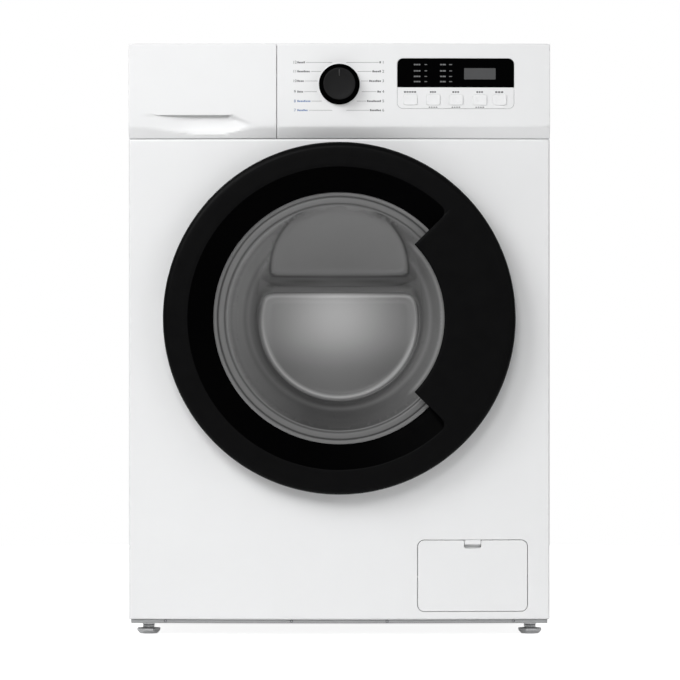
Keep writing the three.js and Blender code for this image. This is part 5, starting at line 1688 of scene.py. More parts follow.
def drum_profile():
    """(radius, y) of the drum's sheet: the rolled mouth, the wall with its shallow beads, the back plate."""
    front = [(DRUM_MOUTH_R, 2.2), (DRUM_MOUTH_R + 1.2, 0.5), (DRUM_MOUTH_R + 3, 0), (180, 0), (184, 1.6)]
    front += [(192, 1.6), (196, 0), (DRUM_R - 6, 0)]
    outer = [(r, DRUM_FRONT + depth) for r, depth in front]
    outer += quarter(DRUM_R - 6, DRUM_FRONT + 6, 6, 6, -90, 0, 5)[1:]
    for middle in DRUM_BEADS:
        outer += [(DRUM_R - sunk, middle + dy) for sunk, dy in ((0, -8), (2.2, -3), (2.2, 3), (0, 8))]
    outer += quarter(DRUM_R - 6, DRUM_BACK - 6, 6, 6, 0, 90, 5)
    back = ((205, 0), (198, 3), (120, 3), (112, 0), (60, 0), (0.0, 0))
    outer += [(r, DRUM_BACK - depth) for r, depth in back]
    wall = 1.2
    inner = [(r - wall if y < DRUM_BACK - 6.1 else r, y) for r, y in outer]
    inner = [(max(r - (wall if y >= DRUM_BACK - 6.1 and r > 230 else 0), 0.0), y) for r, y in inner]
    shifted = []
    for r, y in inner:
        if y <= DRUM_FRONT + 1.7 and r < DRUM_R - 6.5:
            shifted.append((r + wall, y + wall))
        elif y >= DRUM_BACK - 3.1 and r < DRUM_R - 6.5:
            shifted.append((r, y - wall))
        else:
            shifted.append((r, min(max(y, DRUM_FRONT + wall), DRUM_BACK - wall)))
    return outer + shifted[::-1]


def drum():
    """The steel drum, with rows of water holes between its lifters and in its back plate."""
    b = Builder()
    b.turn(drum_profile(), 144, 0, DOOR_Z)
    b.piece("drum_sheet", "drum_steel", "drum", replaces=["drum_shell"], crease=40)
    holes = Builder()

    def hole(x, y, z, out, size):
        """A hole drawn as a closed dimple: a six-sided rim on the sheet and a point sunk along out. Its dark
        colour is painted shade, in place of the dark seen through an open hole.
        """
        out = Vector(out)
        side = out.cross(Vector((0, 1, 0))) if abs(out.y) < 0.9 else Vector((1, 0, 0))
        side.normalize()
        top = out.cross(side)
        middle = Vector((x, y, z))
        turns = [TAU * k / 6 for k in range(6)]
        rim = [middle + side * size * math.cos(turn) + top * size * math.sin(turn) for turn in turns]
        tips = [tuple(middle - out * 0.25), tuple(middle + out * 0.6)]
        faces = [[k, (k + 1) % 6, 6] for k in range(6)] + [[(k + 1) % 6, k, 7] for k in range(6)]
        holes.add([tuple(p) for p in rim] + tips, faces)

    wall_r = DRUM_R - 1.25
    for k in range(90):
        angle = TAU * (k + 0.5) / 90
        out_x, out_z = math.cos(angle), math.sin(angle)
        if min(abs((angle - a + math.pi) % TAU - math.pi) for a in LIFTER_ANGLES) < 0.2:
            continue
        for j in range(15):
            y = DRUM_FRONT + 18 + 18.6 * j + (9.3 if k % 2 else 0)
            bead_near = min(abs(y - middle) for middle in DRUM_BEADS) < 9
            if bead_near or y > DRUM_BACK - 14:
                continue
            hole(wall_r * out_x, y, DOOR_Z + wall_r * out_z, (out_x, 0, out_z), 1.7)
    for ring_r, count in ((70, 18), (88, 24), (104, 30)):
        for x, z in circle_loop(0, DOOR_Z, ring_r, count):
            hole(x, DRUM_BACK - 1.25, z, (0, 1, 0), 2.2)
    # dark dimples in place of open holes: painted shade
    holes.piece("drum_holes", "dark_moulding", "drum", crease=20)


LIFTER_HALF = (  # half the paddle's section: the distance from its middle and the height over its foot
    (28.5, 0.2), (26.5, 5), (23.0, 13), (17.0, 25), (11.4, 35.2), (8.4, 40.11), (4.6, 43.6),
    (0, LIFTER_HEIGHT),
)
LIFTER_ROWS = (  # y along the paddle, and the share of its full section there
    (122, 0.72), (123, 0.80), (127, 0.90), (135, 0.97), (150, 1.0), (242, 1.0),
    (334, 1.0), (349, 0.97), (357, 0.90), (361, 0.80), (362, 0.72),
)


def lifters():
    """Three paddles with a rounded back and tapered ends."""
    for node in ("lifter_1", "lifter_2", "lifter_3"):
        x, _, z = node_middle(node)
        angle = math.atan2(z - DOOR_Z, x)
        out = (math.cos(angle), math.sin(angle))
        side = (-out[1], out[0])
        b = Builder()
        loops = []
        for y, share in LIFTER_ROWS:
            height = LIFTER_HEIGHT * share
            section = [(a * (0.86 + 0.14 * share), h * height / LIFTER_HEIGHT) for a, h in LIFTER_HALF]
            section += [(-a, h) for a, h in section[-2::-1]]
            loop = []
            for a, h in section:
                r = LIFTER_FOOT - h
                loop.append((out[0] * r + side[0] * a, y, DOOR_Z + out[1] * r + side[1] * a))
            loops.append(loop)
        b.loft(loops, caps=(True, True))
        b.piece(f"{node}_paddle", "frame_grey", "drum", replaces=[node], crease=45)


# ---------------------------------------------------------------- drawer tray
def drawer_tray():
    """The dispenser tray: three deep pockets with round corners, a rolled rim and a floor."""
    low, high = node_box("drawer_tray")
    walls = (-219.0, -164.0)
    wall = 2.0
    b = Builder()
    outline = rounded_loop(low[0], high[0], low[1], high[1], 5, 5, 10)
    top = high[2]
    foot = low[2]
    rim = stacked(outline, [(1.0, top), (0.3, top - 0.3), (0, top - 1.0), (0.6, top - 20)])
    rim += stacked(outline, [(1.4, foot + 3), (2.2, foot + 0.8), (4, foot)])
    b.loft(rim, caps=(False, True))
    edges = [low[0], *walls, high[0]]
    pockets = []
    for i in range(3):
        x0 = edges[i] + wall
        x1 = edges[i + 1] - (wall if i == 2 else 0)
        pocket = rounded_loop(x0, x1, low[1] + 4, high[1] - wall, 5, 5, 9)
        rows = stacked(pocket, [(-0.6, top), (0, top - 0.6), (0.5, top - 30)])
        rows += stacked(pocket, [(1.4, foot + 7), (2.6, foot + 4), (5.0, foot + 2.6), (9, foot + 2.2)])
        b.loft(rows, caps=(False, True))
        pockets.append(rows[0])
    floor_fill(b, rim[0], pockets, top, 0)
    b.piece("tray_body", "white_moulding", "drawer", replaces=["drawer_tray"], crease=40)
    siphon = Builder()
    x, y = -135.0, high[1] - 40
    tube = ((7.2, 2.4), (7.2, 34), (6.4, 36), (3.0, 36.6))
    upright(siphon, [(r, foot + height) for r, height in tube], 32, x, y)
    siphon.box(-160, -106, y - 24, y - 22, foot + 2.6, foot + 40, 0.8)
    siphon.piece("tray_siphon", "hose_grey", "drawer", crease=35)


# ---------------------------------------------------------------- filter plug
def filter_plug():
    """The filter's screw plug: a knurled head, a grip bar and a threaded stem."""
    x, _, z = node_middle("filter_plug")
    b = Builder()
    profile = [(0.0, 22.8), (22, 22.8), (23.4, 22.2), (28.4, 22.0), (29.6, 22.8), (30, 24), (30, 30.4)]
    profile += [(29.2, 31.6), (25, 31.6)]
    for k in range(9):
        y = 36 + 5.6 * k
        profile += [(24.2, y), (25.0, y + 1.2), (25.0, y + 2.2), (24.2, y + 3.4)]
    profile += [(24.2, 89), (23, 90), (0.0, 90)]
    loops = []
    for k in range(144):
        angle = TAU * k / 144
        knurl = 0.7 * (0.5 - 0.5 * math.cos(36 * angle))
        cut = [(r - knurl if r > 29 else r, y) for r, y in profile]
        loops.append([(x + r * math.cos(angle), y, z + r * math.sin(angle)) for r, y in cut])
    b.loft(loops, closed=False, wrap=True)
    b.piece("plug_body", "dark_moulding", "plug", replaces=["filter_plug"], crease=45)
    grip = Builder()
    bar = rounded_loop(x - 24, x + 24, z - 4, z + 4, 3.9, 6, 4)
    rows = ((10.0, 2.2), (10.3, 1.2), (11.0, 0.5), (12.2, 0.1), (14, 0.2), (23.2, -0.6))
    grip.loft([[(px, y, pz) for px, pz in inset(bar, d)] for y, d in rows], caps=(True, True))
    grip.piece("plug_grip", "dark_moulding", "plug", crease=45)


# ---------------------------------------------------------------- springs, bellows and hoses
def spring(node):
    """A hanging coil spring between the cabinet's bracket and the tub."""
    low, high = node_box(node)
    x, y, _ = node_middle(node)
    wire, turns, per_turn = 1.5, 22, 18
    r = (high[0] - low[0]) / 2 - wire - 0.1
    b = Builder()
    path = []
    steps = turns * per_turn
    for k in range(steps + 1):
        angle = TAU * k / per_turn
        z = low[2] + wire + (high[2] - low[2] - 2 * wire) * k / steps
        path.append((x + r * math.cos(angle), y + r * math.sin(angle), z))
    swept(b, path, lambda i: round_section(wire, 8))
    piece = b.piece(f"{node}_coil", "zinc", None, replaces=[node], crease=60)
    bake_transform(piece)


def corrugated(node, name, wall, pitch, end_body):
    """A rubber sleeve with rounded folds and a smooth cuff at each end."""
    low, high = node_box(node)
    x, y, _ = node_middle(node)
    r = (high[0] - low[0]) / 2
    cuff = 9.0
    outer, inner = [(r - wall, low[2])], []
    z = low[2]
    while z < high[2]:
        fold = 0.0
        if low[2] + cuff <= z <= high[2] - cuff:
            fold = 0.5 - 0.5 * math.cos(TAU * (z - low[2] - cuff) / pitch)
        outer.append((r - 0.2 - 2.2 * fold, z))
        inner.append((r - wall - 2.2 * fold, z))
        z += 1.2
    outer.append((r - 0.2, high[2]))
    inner.append((r - wall, high[2]))
    b = Builder()
    upright(b, outer + inner[::-1], 40, x, y, closed_ends=False)
    piece = b.piece(name, "hose_rubber", None, replaces=[node], crease=60)
    ends = [place(x, y, high[2] - cuff), place(x, y, low[2] + cuff)]
    if end_body == "upper":
        ends.reverse()
    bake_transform(piece)


def suspension():
    """The two springs and the two sleeves between the cabinet and the floating tub."""
    spring("spring_left")
    spring("spring_right")
    corrugated("tub_fill_bellows", "fill_bellows", 2.4, 8.0, "lower")
    corrugated("sump_hose", "sump_bellows", 3.0, 8.0, "upper")


# ---------------------------------------------------------------- cabinet sides, back and worktop
SHELL_LOW, SHELL_HIGH = node_box("cabinet_shell")
SHEET = 1.2
BACK_SKIN = 495.0
VALVE_X, VALVE_Z = -200.0, 770.0
GLAND_X, GLAND_Z = -240.0, 660.0
HOSE_X, HOSE_Z = 268, 672  # where the drain hose leaves through the back
# Pressed fields, each as its two sides, its foot, its top and its corner radius
SIDE_FIELD = (62, 448, 78, 772, 46)
SIDE_PANELS = ((112, 398, 128, 398, 60), (112, 398, 452, 722, 60))
BACK_BEADS = ((-170, 170, 60, 96, 15), (-170, 170, 668, 700, 15), (-170, 170, 744, 800, 15))
BACK_FIELDS = ((-250, -226, 120, 620, 7), (226, 240, 120, 620, 7))
COVER_FIELD = (-183, 183, 142, 628, 24)


def worktop():
    """The top board: rounded edges, a thin shadow step under its rim and a shallow field."""
    low, high = node_box("worktop")
    outline = rounded_loop(low[0], high[0], low[1], high[1], 6, 6, 14)
    z0, z1 = low[2], high[2]
    step = ((6.0, 0.2), (2.6, 0.2), (2.4, 2.2), (1.0, 2.4), (0.2, 2.9), (0, 3.8))
    rows = [(d, z0 + height) for d, height in step] + [(0, z1 - 4)]
    turns = (0.26, 0.52, 0.79, 1.05, 1.31, math.pi / 2)
    rows += [(4 - 4 * math.cos(a), z1 - 4 + 4 * math.sin(a)) for a in turns]
    rows += [(16, z1), (17.2, z1 - 0.12), (18.6, z1 - 0.5), (20, z1 - 0.6)]
    b = Builder()
    loops = stacked(outline, rows)
    b.loft(loops, caps=(True, False))
    floor_fill(b, loops[-1], [], z1 - 0.6, 40)
    b.piece("worktop_board", "white_moulding", "cabinet", replaces=["worktop"], crease=40)


def rectangle_distance(u, v, u0, u1, v0, v1, r):
    """Distance outside a rectangle with round corners, negative inside."""
    du = abs(u - (u0 + u1) / 2) - (u1 - u0) / 2 + r
    dv = abs(v - (v0 + v1) / 2) - (v1 - v0) / 2 + r
    return math.hypot(max(du, 0), max(dv, 0)) + min(max(du, dv), 0) - r


def pressed(u, v, fields, slope):
    """1 inside any of the fields, 0 outside, and a smooth step over `slope` between."""
    return max(ease(0.5 - rectangle_distance(u, v, *field) / slope) for field in fields)


def field_lines(fields, steps, arc, spacing):
    """Closed lines just inside and outside the edges of the fields, for the net to follow."""
    lines = []
    for u0, u1, v0, v1, r in fields:
        for grow in steps:
            loop = rounded_loop(u0 - grow, u1 + grow, v0 - grow, v1 + grow, r + grow, arc, spacing)
            lines.append(list(loop) + [loop[0]])
    return lines


def side_press(y, z):
    """How far the side sheet is pressed in at (y, z): a large field with two raised stiffening panels."""
    field = pressed(y, z, (SIDE_FIELD,), 9)
    return 2.2 * field - 1.8 * pressed(y, z, SIDE_PANELS, 9)


def cabinet_sides():
    """The two side sheets, folded in at every edge and pressed with a field and two panels."""
    y0, y1 = SHELL_LOW[1], BACK_SKIN - 1.6
    z0, z1 = SHELL_LOW[2], SHELL_HIGH[2]
    outline = rounded_loop(y0, y1, z0, z1, 2.0, 3, 14)
    lines = field_lines((SIDE_FIELD, *SIDE_PANELS), (-5, -2.5, 0, 2.5, 5), 10, 16)
    for side, name in ((-1, "cabinet_side_left"), (1, "cabinet_side_right")):
        b = Builder()
        rim = edge_rows(outline, side_press, 2.4, 5)
        rim += [row(outline, level(y), d) for d, y in ((0, 15.0), (SHEET, 15.0), (SHEET, 3.2), (3.4, SHEET))]
        sheet(b, [rim], side_press, lambda y, z: side_press(y, z) + SHEET, 26, lines)
        b.vertices = [(side * (HALF - depth), y, z) for y, depth, z in b.vertices]
        # the left sheet stands for the whole CAD shell
        replaced = ["cabinet_shell"] if side < 0 else []
        b.piece(name, "panel_paint", "cabinet", replaces=replaced, crease=40)


def turned_back(builder, y):
    """Turns a piece built towards -y about the vertical, so that its front lies at y and faces back."""
    builder.vertices = [(-px, y - py, pz) for px, py, pz in builder.vertices]
    return builder


def swage(x, z):
    """The back sheet's pressings: three flat beads across it and one shallow field down each side."""
    return 1.6 * max(pressed(x, z, BACK_BEADS, 6), pressed(x, z, BACK_FIELDS, 5))


def hole_rows(loop, surface, depth=SHEET):
    """The edge of a hole through a sheet: a rounded lip in front, the wall, and the back edge."""
    return edge_rows(loop, surface, 0.5, 2, hole=True, support=0.8) + [row(loop, surface, 0, depth)]


def cabinet_back():
    """The back sheet, with its service opening, its beads and the holes of the valve, hose and gland."""
    b = Builder()
    outline = rounded_loop(-HALF + 0.4, HALF - 0.4, SHELL_LOW[2], SHELL_HIGH[2], 2.0, 3, 16)
    rim = edge_rows(outline, swage, 1.1, 3)
    rim += [row(outline, level(SHEET - 0.02)), row(outline, level(SHEET), 1.4)]
    service = rounded_loop(-185, 185, 140, 630, 25, 8, 20)
    holes = [hole_rows(service, swage), hole_rows(circle_loop(-VALVE_X, VALVE_Z, 15, 40), swage)]
    holes.append(hole_rows(circle_loop(-HOSE_X, HOSE_Z, 13, 36), swage))
    holes.append(hole_rows(circle_loop(-GLAND_X, GLAND_Z, 9.6, 32), swage))
    lines = field_lines(BACK_BEADS, (-3, -1, 1, 3), 7, 14)
    sheet(b, [rim, *holes], swage, lambda x, z: swage(x, z) + SHEET, 24, lines)
    turned_back(b, BACK_SKIN)
    b.piece("cabinet_back_sheet", "panel_paint", "cabinet", crease=40)
    screws = Builder()
    for x in (-288, 288):
        for z in (60, 250, 450, 640, 790):
            screw_head(screws, x, BACK_SKIN - 0.1, z, 3.6, out=1)
    screws.piece("cabinet_back_screws", "screw_steel", "cabinet", crease=30)
    for side in (-1, 1):
        spring_bracket(side)


def spring_bracket(side):
    """The bracket on one side sheet that a tub spring hangs from: -1 is the left side, 1 the right."""
    end = "left" if side < 0 else "right"
    low, high = node_box(f"spring_{end}")
    middle, top = (low[1] + high[1]) / 2, high[2]
    inner = low[0] + 1 if side > 0 else high[0] - 1
    outer = side * (HALF - 3.6)
    bracket = Builder()
    bracket.box(*sorted((inner, outer)), middle - 10, middle + 10, top + 2, top + 5, 0.8)
    flange = sorted((outer - side * 2.0, outer))
    bracket.box(*flange, middle - 10, middle + 10, top + 4, top + 14, 0.8)
    peg = [(side * 262, middle, top + dz) for dz in (6, 1, -2)]
    swept(bracket, peg, lambda i: round_section(1.5, 10), up=(1, 0, 0))
    bracket.piece(f"spring_bracket_{end}", "zinc", "cabinet", crease=35)


DOME_FOOT, DOME_EDGE, DOME_RISE = 164.0, 147.0, 8.5
COVER_RAISED = 1.4


def cover_press(x, z):
    """The rear cover's relief, with -y out: a raised field inside a lower border."""
    return -COVER_RAISED * pressed(x, z, (COVER_FIELD,), 5)


def dome_rows(lift):
    """Rings from the dome's foot up its rounded slope to its flat top."""
    profile = []
    for k in range(9):
        t = k / 8
        r = DOME_FOOT + (DOME_EDGE - DOME_FOOT) * t
        profile.append((r, lift - COVER_RAISED - (DOME_RISE - COVER_RAISED) * ease(t)))
    return ring_rows(profile, 144)


def rear_cover():
    """The service cover: a dome, a raised field, rows of louvres below the dome, and its screws."""
    low, high = node_box("rear_cover")
    b = Builder()
    outline = rounded_loop(low[0], high[0], low[2], high[2], 35, 10, 14)
    rim = edge_rows(outline, cover_press, 0.6, 2, support=0.6) + [row(outline, cover_press, 0, SHEET)]
    rim.append(row(outline, cover_press, 0.8, SHEET))
    lines = field_lines((COVER_FIELD,), (-2.5, -1, 1, 2.5), 8, 14)
    for lift, outside in ((0.0, rim[0]), (SHEET, rim[-1])):
        rows = dome_rows(lift)
        skin(b, [outside, rows[0]], lambda x, z: cover_press(x, z) + lift, 18, lines)
        b.loft(rows)
        skin(b, [rows[-1]], level(lift - DOME_RISE), 30)
    b.loft(rim)
    turned_back(b, low[1] + SHEET)
    b.piece("service_cover", "panel_paint", "cabinet", replaces=["rear_cover"], crease=40)
    louvres = Builder()
    for j in range(6):
        for x in (-108, 0, 108):
            louvre(louvres, x, 176 + 16 * j, 84 if j < 5 or x == 0 else 60)
    turned_back(louvres, low[1] + SHEET)
    louvres.piece("cover_louvres", "panel_paint", "cabinet", crease=50)
    screws = Builder()
    spots = [(x, z) for x in (-189, 189) for z in (300, 470)]
    spots += [(x, z) for z in (136, 634) for x in (-150, 0, 150)]
    for x, z in spots:
        screw_head(screws, x, low[1] + SHEET - 0.1, z, 3.4, out=1)
    screws.piece("cover_screws", "screw_steel", "cabinet", crease=30)


def louvre(builder, x, z, width):
    """One pressed hood, open below: a half round in section, with rounded ends."""
    loops = []
    for k in range(13):
        t = -1 + 2 * k / 12
        bulge = math.sqrt(max(0.0, 1 - t ** 6))
        px = x + t * width / 2
        top, low, out = z + 4.2, z - 3.0, -1.3 - 3.2 * bulge
        inner = out + 0.8 * bulge
        section = [(-1.0, top), (-1.3 - 1.3 * bulge, top - 1.4), (-1.3 - 2.4 * bulge, top - 3.0)]
        section += [(out, z - 0.6), (out, low), (inner, low), (inner, z - 0.4), (-1.0, top - 3.2)]
        loops.append([(px, y, pz) for y, pz in section])
    builder.loft(loops, caps=(True, True))


def water_inlet():
    """The inlet valve: its flange and threaded spout behind, its block, coil and outlet barb inside."""
    low, high = node_box("inlet_valve")
    spout = Builder()
    profile = [(9.0, 500), (9.0, high[1]), (12.0, high[1]), (12.6, high[1] - 0.6)]
    y = high[1] - 1.4
    while y > 499:
        profile += [(13.0, y), (13.0, y - 0.5), (12.1, y - 1.1), (12.1, y - 1.5)]
        y -= 2.1
    profile += [(12.1, 498.2), (17.0, 497.8), (18.0, 497.2), (18.0, 495.6), (12.0, 495.4), (12.0, 486)]
    profile += [(0.0, 486), (0.0, 500)]
    loops = []
    for k in range(48):
        across, up = math.cos(TAU * k / 48), math.sin(TAU * k / 48)
        loops.append([(VALVE_X + r * across, py, VALVE_Z + r * up) for r, py in profile])
    spout.loft(loops, closed=False, wrap=True)
    for angle in (math.radians(35), math.radians(215)):
        screw_head(spout, VALVE_X + 23 * math.cos(angle), 496.9, VALVE_Z + 23 * math.sin(angle), 3.0, out=1)
    for sign in (-1, 1):
        ear = sorted((VALVE_X + sign * 10, VALVE_X + sign * 27))
        spout.box(*ear, 495.5, 497.1, VALVE_Z - 9 + sign * 6, VALVE_Z + 9 + sign * 6, 0.7)
    spout.piece("inlet_spout", "white_moulding", "cabinet", replaces=["inlet_valve"], crease=35)
    body = Builder()
    body.box(VALVE_X - 14, VALVE_X + 14, low[1] + 15, 487, 752, 800, 2.0)
    coil = [(11.0, 799), (12, 800)] + [(12 - 0.5 * (k % 2), 801 + 1.5 * k) for k in range(10)]
    coil += [(12, 816.6), (10.8, 817.8)]
    upright(body, coil, 32, VALVE_X, 475)
    barb = [(0.0, 447), (4.6, 447), (6.0, 449.5), (5.2, 449.8), (6.0, 453), (5.2, 453.3), (6.0, 457)]
    body.turn(barb + [(5.4, 457.4), (5.4, 463), (0.0, 463)], 24, VALVE_X, 790)
    body.piece("inlet_block", "white_moulding", "cabinet", crease=35)


def cord_gland():
    """The mains cord's gland: a flanged collar with ribs and an open bore. The cord itself is left out."""
    b = Builder()
    profile = [(4.0, 493), (4.0, 503), (6.0, 503), (6.8, 502.4), (7.4, 500.6), (6.8, 500.2), (7.8, 498.8)]
    profile += [(7.2, 498.4), (8.4, 497.2), (11.6, 496.9), (12.4, 496.2), (12.4, 495.1), (9.4, 495.0)]
    profile.append((9.4, 493))
    b.turn(profile, 40, GLAND_X, GLAND_Z)
    b.piece("gland_collar", "dark_moulding", "cabinet", crease=35)


HOSE_PATH = (
    (233, 135, 70), (242, 135, 70), (256, 141, 69), (266, 170, 66), (270, 230, 66), (270, 330, 72),
    (269, 410, 86), (268, 450, 112), (268, 466, 160), (268, 466, 300), (268, 466, 460), (268, 466, 600),
    (268, 466, 630), (268, 469, 652), (268, 480, 668), (HOSE_X, 494, HOSE_Z), (HOSE_X, 507.6, HOSE_Z),
)


def smooth_path(points, spacing):
    """A Catmull-Rom curve through the points, in steps of about `spacing`."""
    result = []
    for i in range(len(points) - 1):
        p0 = Vector(points[max(i - 1, 0)])
        p1, p2 = Vector(points[i]), Vector(points[i + 1])
        p3 = Vector(points[min(i + 2, len(points) - 1)])
        steps = max(1, round((p2 - p1).length / spacing))
        for k in range(steps):
            t = k / steps
            bent = (p0 * 2 - p1 * 5 + p2 * 4 - p3) * t * t
            twice = p1 * 2 + (p2 - p0) * t + bent + (p1 * 3 - p0 - p2 * 3 + p3) * t ** 3
            result.append(tuple(twice / 2))
    result.append(points[-1])
    return result


def drain_hose():
    """The corrugated drain hose up the back, with a smooth cuff at both ends."""
    path = smooth_path(HOSE_PATH, 2.0)
    last = len(path) - 1
    b = Builder()

    def section(i):
        smooth = i < 10 or i > last - 12
        fold = 0.0 if smooth else 0.5 - 0.5 * math.cos(TAU * i / 3)
        return round_section(8.6 if smooth else 9.9 - 1.5 * fold, 14)

    swept(b, path, section, up=(1, 0, 0))
    b.piece("drain_hose_folds", "hose_grey", "cabinet", replaces=["drain_hose"], crease=60)
    cuff = Builder()
    profile = [(8.8, 495.2), (15.2, 495.2), (16.0, 495.8), (16.0, 496.8), (15.0, 497.4), (11.6, 497.8)]
    cuff.turn(profile + [(10.8, 499), (10.6, 503), (8.8, 503.4)], 40, HOSE_X, HOSE_Z)
    cuff.piece("drain_exit_collar", "dark_moulding", "cabinet", crease=35)


PAN_FLOOR = 20.5


def base_tray():
    """The base tray: a flange round the floor, a deep pan, four stem bosses and two damper seats."""
    low, high = TRAY_LOW, TRAY_HIGH
    b = Builder()
    top = PANEL_BOTTOM - 0.4
    outline = rounded_loop(low[0], high[0], 8, high[1], 4, 4, 20)
    wall = rounded_loop(-293, 293, 24, 488, 8, 5, 20)
    rows = stacked(wall, [(-2.4, top), (-0.8, top + 0.8), (0, top + 2.4), (0, 49), (0.4, 50), (2.6, 50)])
    rows += stacked(wall, [(3, 49.2), (3, 26), (4, 22), (7, PAN_FLOOR), (30, PAN_FLOOR)])
    rim = stacked(outline, [(0.6, top), (0, top - 0.6), (0, low[2] + 1.4), (1.2, low[2])])
    b.loft(rows)
    b.loft(rim)
    floor_fill(b, rim[0], [rows[0]], top, 0)
    floor_fill(b, rows[-1], [], PAN_FLOOR, 60)
    floor_fill(b, rim[-1], [], low[2], 60)
    b.piece("base_pan", "base_grey", "cabinet", replaces=["base_tray"], crease=40)
    bosses = Builder()
    for name in ("foot_front_left", "foot_front_right", "foot_rear_left", "foot_rear_right"):
        cx, cy, _ = node_middle(name)
        boss = [(5.4, low[2]), (11.4, low[2]), (12, low[2] + 0.5), (12, 59), (11.4, 60), (6.0, 60)]
        boss.append((5.4, 59.4))
        upright(bosses, boss, 32, cx, cy, closed_ends=False)
    for node in ("damper_cylinder_left", "damper_cylinder_right"):
        cx, cy, _ = node_middle(node)
        bosses.box(cx - 12, cx + 12, cy - 10, cy + 10, 20, 39.6, 1.0)
    bosses.piece("base_bosses", "base_grey", "cabinet", crease=35)


PIECES = [
    front_panel,
    filter_flap,
    base_strip,
    feet,
    control_fascia,
    drawer_front,
    display,
    button_strip,
    program_print,
    insert_print,
    program_knob,
    door_ring,
    door_glass,
    door_inner_frame,
    hinge,
    door_hook,
    door_lock,
    door_gasket,
    gasket_clamp,
    drum,
    lifters,
    drawer_tray,
    filter_plug,
    suspension,
    worktop,
    cabinet_sides,
    cabinet_back,
    rear_cover,
    water_inlet,
    cord_gland,
    drain_hose,
    base_tray,
]


# ---------------------------------------------------------------- CAD nodes that stay
CAD_FINISH = {  # material: the nodes that have it. Every other node is zinc.
    "panel_paint": ["cabinet_shell", "front_panel", "rear_cover", "filter_flap"],
    "base_grey": ["base_tray"],
    "white_moulding": [
        "worktop", "control_fascia", "button_panel", "drawer_front", "drawer_tray", "inlet_valve",
    ],
    "lens_black": ["display_lens"],
    "board_green": ["control_board"],
    "knob_black": ["program_knob"],
    "white_key": ["button_1", "button_2", "button_3", "button_4", "button_5"],
    "frame_grey": ["dispenser_housing", "door_inner_frame", "lifter_1", "lifter_2", "lifter_3"],
    "hose_rubber": ["fill_hose", "tub_fill_bellows", "drive_belt", "sump_hose"],
    "ring_black": ["door_ring"],
    "bowl_glass": ["door_glass"],
    "dark_moulding": ["door_lock", "drain_pump", "filter_plug"],
    "gasket_rubber": ["door_gasket"],
    "tub_grey": [
        "tub_front", "tub_rear", "damper_cylinder_left", "damper_cylinder_right", "filter_housing",
    ],
    "concrete": ["counterweight"],
    "cast_aluminium": ["motor", "drum_spider", "drum_pulley"],
    "heater_steel": ["heater"],
    "screw_steel": ["shaft_bearing"],
    "drum_steel": ["drum_shell"],
    "hose_grey": ["drain_hose"],
}


def finish_cad_nodes():
    """Every CAD node gets its finish, whether it shows or a detailed piece stands for it."""
    finish_of = {name: look for look, names in CAD_FINISH.items() for name in names}
    for name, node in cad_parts.items():
        node.data.materials.clear()
        node.data.materials.append(MATERIALS[finish_of.get(name, "zinc")])


# ---------------------------------------------------------------- stage, light and camera
CAMERA_DISTANCE = 6.0
CAMERA_HEIGHT = 0.48
FRAME_WIDTH = 0.968
FRAME_MIDDLE = 0.4214
SENSOR = 36.0
FLOOR_GLOW = 0.86  # the floor is lit from below, as a light table is
WORLD_LIGHT = 0.18
FLOOR_BOUNCE = 0.10  # what of that glow reaches the machine


def floor():
    """A pale round floor."""
    material = moulded("stage_white", (0.93,) * 3, 0.7, grain=60, depth=1e-5, mottle=0.004, specular=0.1)
    shader = material.node_tree.nodes["Principled BSDF"]
    shader.inputs["Emission Color"].default_value = (1, 1, 1, 1)
    tree = material.node_tree
    path = tree.nodes.new("ShaderNodeLightPath")
    glow = tree.nodes.new("ShaderNodeMath")
    glow.operation = "MULTIPLY_ADD"
    glow.inputs[1].default_value = FLOOR_GLOW - FLOOR_BOUNCE
    glow.inputs[2].default_value = FLOOR_BOUNCE
    tree.links.new(path.outputs["Is Camera Ray"], glow.inputs[0])
    tree.links.new(glow.outputs["Value"], shader.inputs["Emission Strength"])
    builder = Builder()
    loops = []
    for r in (400, 800, 1200, 1600, 2000):
        loops.append([(x, y, -0.4) for x, y in circle_loop(0, 250, r, 96)])
    builder.loft(loops)
    builder.faces.append(list(range(96)))
    mesh = bpy.data.meshes.new("stage_floor")
    mesh.from_pydata([place(*v) for v in builder.vertices], [], builder.faces)
    mesh.materials.append(material)
    stage = bpy.data.objects.new("stage_floor", mesh)
    bpy.context.scene.collection.objects.link(stage)


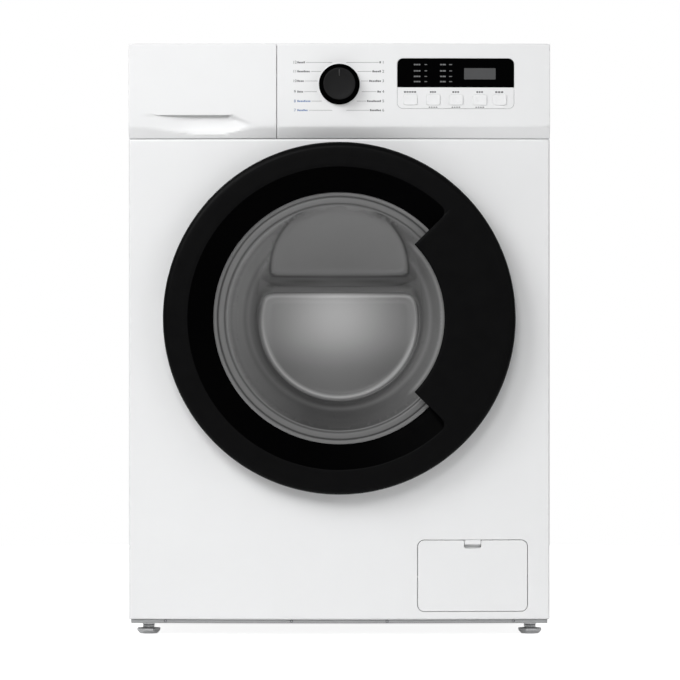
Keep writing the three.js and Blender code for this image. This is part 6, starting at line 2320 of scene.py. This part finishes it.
def area_light(name, location, target, size, power):
    """A square lamp at location, turned to face the target."""
    light = bpy.data.lights.new(name, "AREA")
    light.shape = "SQUARE"
    light.size = size
    light.energy = power
    lamp = bpy.data.objects.new(name, light)
    lamp.location = location
    lamp.rotation_euler = (Vector(target) - Vector(location)).to_track_quat("-Z", "Y").to_euler()
    bpy.context.scene.collection.objects.link(lamp)


def world_light():
    """White to the camera, and an even soft grey to everything else."""
    world = bpy.data.worlds.new("studio")
    world.use_nodes = True
    tree = world.node_tree
    tree.nodes.clear()
    output = tree.nodes.new("ShaderNodeOutputWorld")
    mix = tree.nodes.new("ShaderNodeMixShader")
    path = tree.nodes.new("ShaderNodeLightPath")
    for index, strength in ((1, WORLD_LIGHT), (2, 1.0)):
        background = tree.nodes.new("ShaderNodeBackground")
        background.inputs["Color"].default_value = (1, 1, 1, 1)
        background.inputs["Strength"].default_value = strength
        tree.links.new(background.outputs["Background"], mix.inputs[index])
    tree.links.new(path.outputs["Is Camera Ray"], mix.inputs["Fac"])
    tree.links.new(mix.outputs["Shader"], output.inputs["Surface"])
    bpy.context.scene.world = world


def camera():
    """A long lens that sees the front square on."""
    data = bpy.data.cameras.new("camera")
    data.sensor_width = SENSOR
    data.lens = SENSOR * CAMERA_DISTANCE / FRAME_WIDTH
    data.shift_y = (FRAME_MIDDLE - CAMERA_HEIGHT) / FRAME_WIDTH
    data.clip_end = 50
    view = bpy.data.objects.new("camera", data)
    view.location = (0.001, Y_EDGE - 0.01 - CAMERA_DISTANCE, CAMERA_HEIGHT)
    view.rotation_euler = (math.pi / 2, 0, 0)
    bpy.context.scene.collection.objects.link(view)
    bpy.context.scene.camera = view


def light_and_camera():
    """The stage, its four lamps and the camera."""
    floor()
    world_light()
    middle = (0, Y_EDGE, 0.62)
    area_light("key", (-2.2, -2.6, 2.6), middle, 2.0, 78)
    area_light("fill", (2.4, -2.4, 1.5), middle, 2.2, 14)
    area_light("front", (-0.5, -4.4, 2.5), middle, 1.4, 52)
    area_light("rear", (1.6, 2.8, 2.6), middle, 2.0, 40)
    camera()
    bpy.context.scene.view_settings.view_transform = "Standard"


# ---------------------------------------------------------------- everything
finish_cad_nodes()
for make in PIECES:
    make()
light_and_camera()
